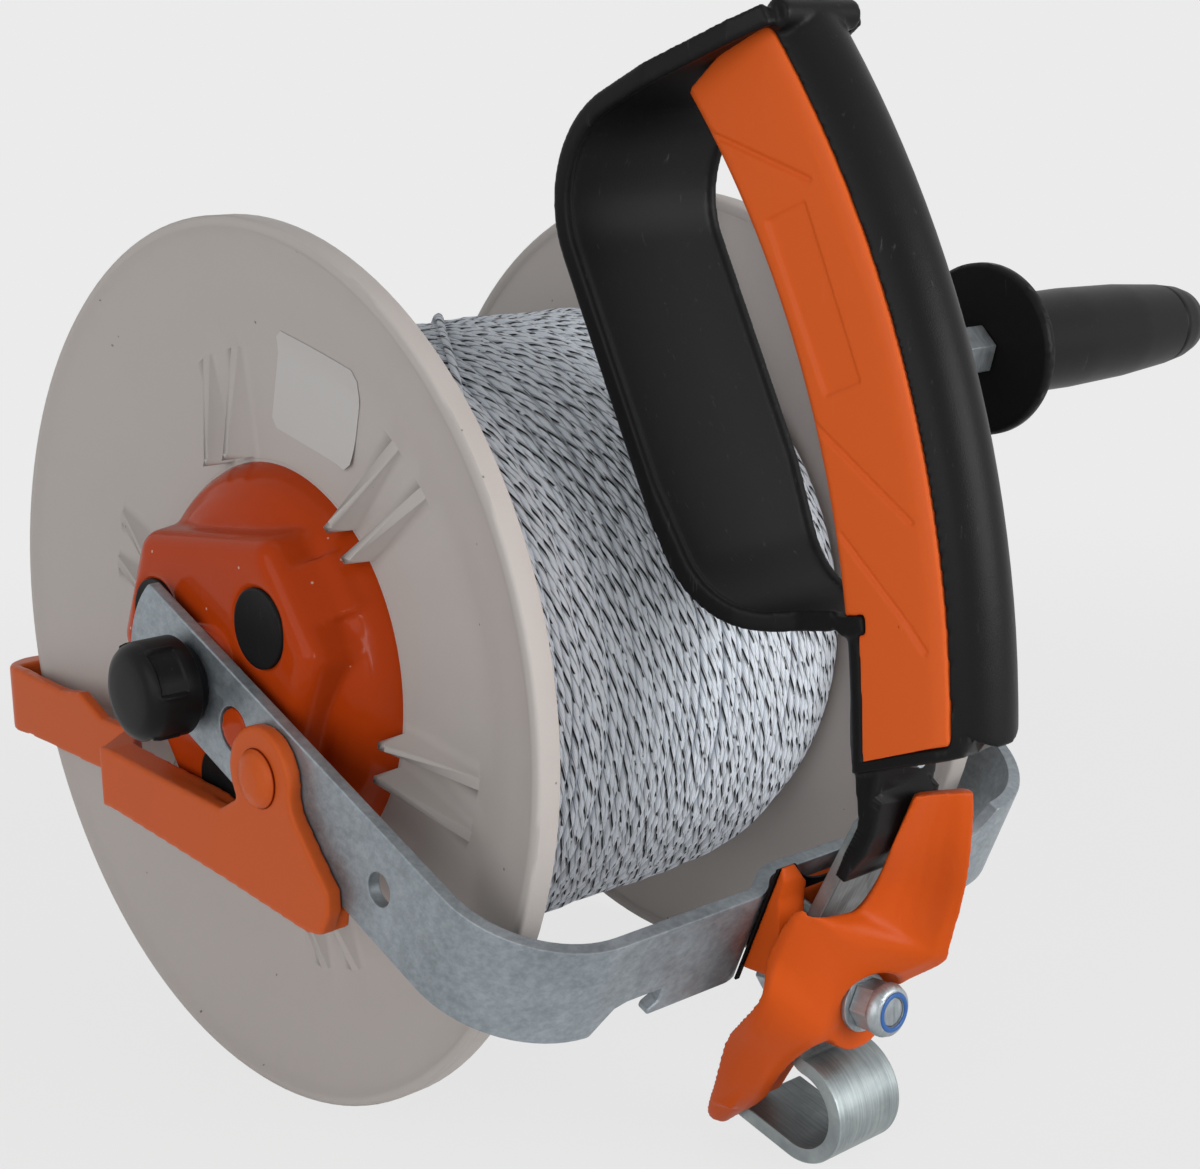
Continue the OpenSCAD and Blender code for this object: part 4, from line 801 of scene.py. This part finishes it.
def winding():
    """The wire on the spool: a lower layer, and the runs that cross over it."""
    wound_wire("wound_under", "wire_core", [strand_path(**UNDER_RUN)])
    wound_wire("wound_over", "wire_layer", [strand_path(**BACK_RUN), strand_path(**STEEP_RUN), loose_path()])


# Blank label

LABEL_WIDE, LABEL_HIGH = 39.5, 29.0
LABEL_TILT = math.radians(14.4)
LABEL_AT = (-90.0, -25.1, 79.4)
LABEL_COLUMNS, LABEL_ROWS = 16, 12
LABEL_CORNER = 0.49
LABEL_LIFT, LABEL_THICK = 0.25, 0.15
LABEL_SHARP_ANGLE = 30
CURL_REACH, CURL_RISE = 11.0, 1.8


def label():
    """A blank label on the near flange, with one corner coming off."""
    right = Vector((0, -math.cos(LABEL_TILT), -math.sin(LABEL_TILT)))
    up = Vector((0, -math.sin(LABEL_TILT), math.cos(LABEL_TILT)))
    turn = Matrix((right, up, Vector((-1, 0, 0)))).transposed()
    middle = from_axle(*LABEL_AT)
    wide = LABEL_WIDE * MM
    high = LABEL_HIGH * MM
    bpy.ops.object.select_all(action="DESELECT")
    bpy.ops.mesh.primitive_grid_add(x_subdivisions=LABEL_COLUMNS, y_subdivisions=LABEL_ROWS, size=1.0,
                                    location=middle, rotation=turn.to_euler())
    piece = bpy.context.object
    piece.name = "blank_label"
    piece.scale = (wide, high, 1)
    bpy.ops.object.transform_apply(location=True, rotation=True, scale=True)
    clear_picks(piece, "VERT")
    for vertex in piece.data.vertices:
        off = vertex.co - middle
        at_side = abs(off.dot(right)) > wide * LABEL_CORNER
        at_end = abs(off.dot(up)) > high * LABEL_CORNER
        vertex.select = at_side and at_end
    bpy.ops.object.mode_set(mode="EDIT")
    bpy.ops.mesh.dissolve_verts()
    bpy.ops.object.mode_set(mode="OBJECT")
    modified(piece, "SHRINKWRAP", target=nodes["near_flange"], wrap_method="PROJECT", use_project_x=True,
             use_positive_direction=True, use_negative_direction=True)
    corner = middle + right * wide / 2 - up * high / 2
    for vertex in piece.data.vertices:
        flat = Vector((0, vertex.co.y - corner.y, vertex.co.z - corner.z)).length / MM
        if flat < CURL_REACH:
            vertex.co.x -= CURL_RISE * MM * (1 - flat / CURL_REACH) ** 2
        vertex.co.x -= LABEL_LIFT * MM
    modified(piece, "SOLIDIFY", thickness=LABEL_THICK * MM, offset=0.0)
    shade_by_angle(piece, LABEL_SHARP_ANGLE)
    dress(piece, "label")
    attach(piece, "spool")


# Drag knob: its turned shape as pairs of place along the axle and radius

KNOB_SIDES = 72
KNOB_SHAPE = (
    (-119.7, 0.01), (-119.7, 8.1), (-109.2, 8.1), (-109.2, 11.5), (-112.2, 11.5), (-112.4, 13.9),
    (-112.9, 14.4), (-117.0, 14.4), (-123.2, 14.4), (-125.4, 13.9), (-126.8, 12.9), (-127.8, 11.3),
    (-128.2, 9.4), (-128.35, 5), (-128.4, 0.01),
)
KNOB_PANEL_X = (-125.4, -117.0)
KNOB_SIDE_R = 12
KNOB_REPEAT = 120
PANEL_ANGLES = (0, 55)
PANEL_EDGE, PANEL_SINK = 0.4, 0.9
BAR_ANGLES = ((55, 60), (115, 120))
BAR_EDGE, BAR_RISE = 0.25, 0.6
KNOB_BEVEL, KNOB_BEVEL_ANGLE, KNOB_SHARP_ANGLE = 0.15, 30, 35
LATHE_JOINED_WITHIN = 0.03


def lathe(name, profile, sides):
    """A piece turned round the axle, from pairs of place along it and radius."""
    bpy.ops.object.select_all(action="DESELECT")
    x, radius = profile[0]
    bpy.ops.mesh.primitive_circle_add(vertices=sides, radius=radius * MM, location=from_axle(x, 0, 0),
                                      rotation=(0, math.radians(90), 0))
    piece = bpy.context.object
    piece.name = name
    bpy.ops.object.transform_apply(location=True, rotation=True, scale=True)
    bpy.ops.object.mode_set(mode="EDIT")
    bpy.ops.mesh.select_all(action="SELECT")
    for next_x, next_radius in profile[1:]:
        bpy.ops.mesh.extrude_region_move(TRANSFORM_OT_translate={"value": ((next_x - x) * MM, 0, 0)})
        share = next_radius / radius
        bpy.ops.transform.resize(value=(1, share, share), center_override=from_axle(next_x, 0, 0))
        x, radius = next_x, next_radius
    bpy.ops.mesh.select_all(action="SELECT")
    bpy.ops.mesh.remove_doubles(threshold=LATHE_JOINED_WITHIN * MM)
    bpy.ops.mesh.normals_make_consistent(inside=False)
    bpy.ops.object.mode_set(mode="OBJECT")
    return piece


def inset_knob_faces(piece, angles, edge, rise):
    """Insets the knob's side faces that lie between two angles in each third of a turn."""
    low, high = angles
    clear_picks(piece, "FACE")
    for face in piece.data.polygons:
        off = (face.center - AXLE) / MM
        angle = math.degrees(math.atan2(off.z, off.y)) % KNOB_REPEAT
        outside = math.hypot(off.y, off.z) > KNOB_SIDE_R
        face.select = outside and KNOB_PANEL_X[0] < off.x < KNOB_PANEL_X[1] and low < angle < high
    bpy.ops.object.mode_set(mode="EDIT")
    bpy.ops.mesh.inset(thickness=edge * MM, depth=rise * MM)
    bpy.ops.object.mode_set(mode="OBJECT")


def knob():
    """The knob with its three sunk finger panels, each between two raised bars."""
    piece = lathe("soft_drag_knob", KNOB_SHAPE, KNOB_SIDES)
    inset_knob_faces(piece, PANEL_ANGLES, PANEL_EDGE, -PANEL_SINK)
    for angles in BAR_ANGLES:
        inset_knob_faces(piece, angles, BAR_EDGE, BAR_RISE)
    modified(piece, "BEVEL", width=KNOB_BEVEL * MM, segments=BEVEL_STEPS, limit_method="ANGLE",
             angle_limit=math.radians(KNOB_BEVEL_ANGLE))
    shade_by_angle(piece, KNOB_SHARP_ANGLE)
    stand_for(piece, "drag_knob")


# Nylon ring of the lock nut

NUT_FACE = (0, -169.15, -82.47)
RING_R, RING_TUBE_R = 4.85, 0.75
RING_STEPS, RING_TUBE_STEPS = 48, 12
RING_FLATNESS = 0.5


def nylon_ring():
    """The coloured ring that grips the bolt's end inside the lock nut."""
    bpy.ops.object.select_all(action="DESELECT")
    bpy.ops.mesh.primitive_torus_add(major_radius=RING_R * MM, minor_radius=RING_TUBE_R * MM,
                                     major_segments=RING_STEPS, minor_segments=RING_TUBE_STEPS,
                                     location=from_axle(*NUT_FACE), rotation=(math.radians(90), 0, 0))
    piece = bpy.context.object
    piece.name = "nylon_ring"
    bpy.ops.object.transform_apply(location=True, rotation=True, scale=True)
    bpy.ops.object.mode_set(mode="EDIT")
    bpy.ops.mesh.select_all(action="SELECT")
    bpy.ops.transform.resize(value=(1, RING_FLATNESS, 1), center_override=from_axle(*NUT_FACE))
    bpy.ops.object.mode_set(mode="OBJECT")
    bpy.ops.object.shade_smooth()
    dress(piece, "nylon_blue")
    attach(piece, node_body["lock_nut"])


# Studio, in metres and watts

BACKDROP = linear(235, 235, 235)
WHITE = (1, 1, 1, 1)
FLOOR_WIDE = 30.0
PAPER_ROUGH, PAPER_SPECULAR = 0.9, 0.1
SHADOW_REACH = (0.3, 0.9)
SHADOW_COVER = (0.9, 1.0)
WORLD_LIGHT = 0.3
LAMP_AIM = Vector((0, 0, 0.14))
LAMPS = {
    "front_light": {"place": (0.7, -2.0, 0.6), "wide": 1.3, "high": 1.3, "power": 36.0},
    "side_light": {"place": (-2.2, -0.5, 0.7), "wide": 1.6, "high": 1.6, "power": 18.0},
    "top_light": {"place": (0.1, -0.2, 2.3), "wide": 1.4, "high": 1.4, "power": 4.0},
    "edge_light": {"place": (-1.6, -1.5, 0.5), "wide": 0.1, "high": 0.7, "power": 5.0},
}


def seen_directly(w):
    """One for rays from the camera, from gloss and through glass."""
    path = w.add("ShaderNodeLightPath")
    shiny = w.math("MAXIMUM", path.outputs["Is Glossy Ray"], path.outputs["Is Transmission Ray"])
    return w.math("MAXIMUM", path.outputs["Is Camera Ray"], shiny)


def blend_shaders(w, factor, first, second, output):
    """Sends a blend of two shaders to the tree's output node."""
    blend = w.add("ShaderNodeMixShader")
    w.join(factor, blend.inputs[0])
    w.join(first.outputs[0], blend.inputs[1])
    w.join(second.outputs[0], blend.inputs[2])
    w.join(blend.outputs[0], w.tree.nodes[output].inputs["Surface"])


def studio_floor():
    """A pale floor that keeps the object's shadow and fades into the backdrop."""
    bpy.ops.object.select_all(action="DESELECT")
    bpy.ops.mesh.primitive_plane_add(size=FLOOR_WIDE, location=(0, 0, 0))
    floor = bpy.context.object
    floor.name = "studio_floor"
    made, w, shader = start_material("studio_paper")
    shader.inputs["Base Color"].default_value = BACKDROP
    shader.inputs["Roughness"].default_value = PAPER_ROUGH
    shader.inputs["Specular IOR Level"].default_value = PAPER_SPECULAR
    glow = w.add("ShaderNodeEmission")
    glow.inputs["Color"].default_value = BACKDROP
    reach = w.add("ShaderNodeVectorMath", operation="LENGTH")
    w.join(w.place(), reach.inputs[0])
    cover = w.span(reach.outputs["Value"], *SHADOW_REACH, *SHADOW_COVER)
    blend_shaders(w, w.times(cover, seen_directly(w)), shader, glow, "Material Output")
    floor.data.materials.append(made)


def studio_world():
    """A pale backdrop where it is seen, and a weak even light everywhere else."""
    world = bpy.data.worlds.new("studio_world")
    bpy.context.scene.world = world
    world.use_nodes = True
    w = Wiring(world.node_tree)
    backdrop = world.node_tree.nodes["Background"]
    backdrop.inputs["Color"].default_value = BACKDROP
    light = w.add("ShaderNodeBackground")
    light.inputs["Color"].default_value = WHITE
    light.inputs["Strength"].default_value = WORLD_LIGHT
    blend_shaders(w, seen_directly(w), light, backdrop, "World Output")


def soft_box(name, place, wide, high, power):
    """A lamp with a rectangular face that is turned to the object."""
    data = bpy.data.lights.new(name, "AREA")
    data.energy = power
    data.shape = "RECTANGLE"
    data.size = wide
    data.size_y = high
    lamp = bpy.data.objects.new(name, data)
    bpy.context.scene.collection.objects.link(lamp)
    turn = (LAMP_AIM - Vector(place)).to_track_quat("-Z", "Y").to_matrix()
    lamp.matrix_world = Matrix.Translation(place) @ turn.to_4x4()


# The whole scene

place_camera()
for node, solid in nodes.items():
    dress(solid, slot_of_node[node])
for node, (width, finish) in ROUNDED.items():
    round_edges(node, width, finish)
for node, (grain, passes, kept, finish) in MOULDED.items():
    mould(node, grain, passes, kept, finish)
winding()
label()
knob()
nylon_ring()
studio_floor()
studio_world()
for name, lamp_values in LAMPS.items():
    soft_box(name, **lamp_values)

bpy.context.scene.view_settings.view_transform = "Standard"
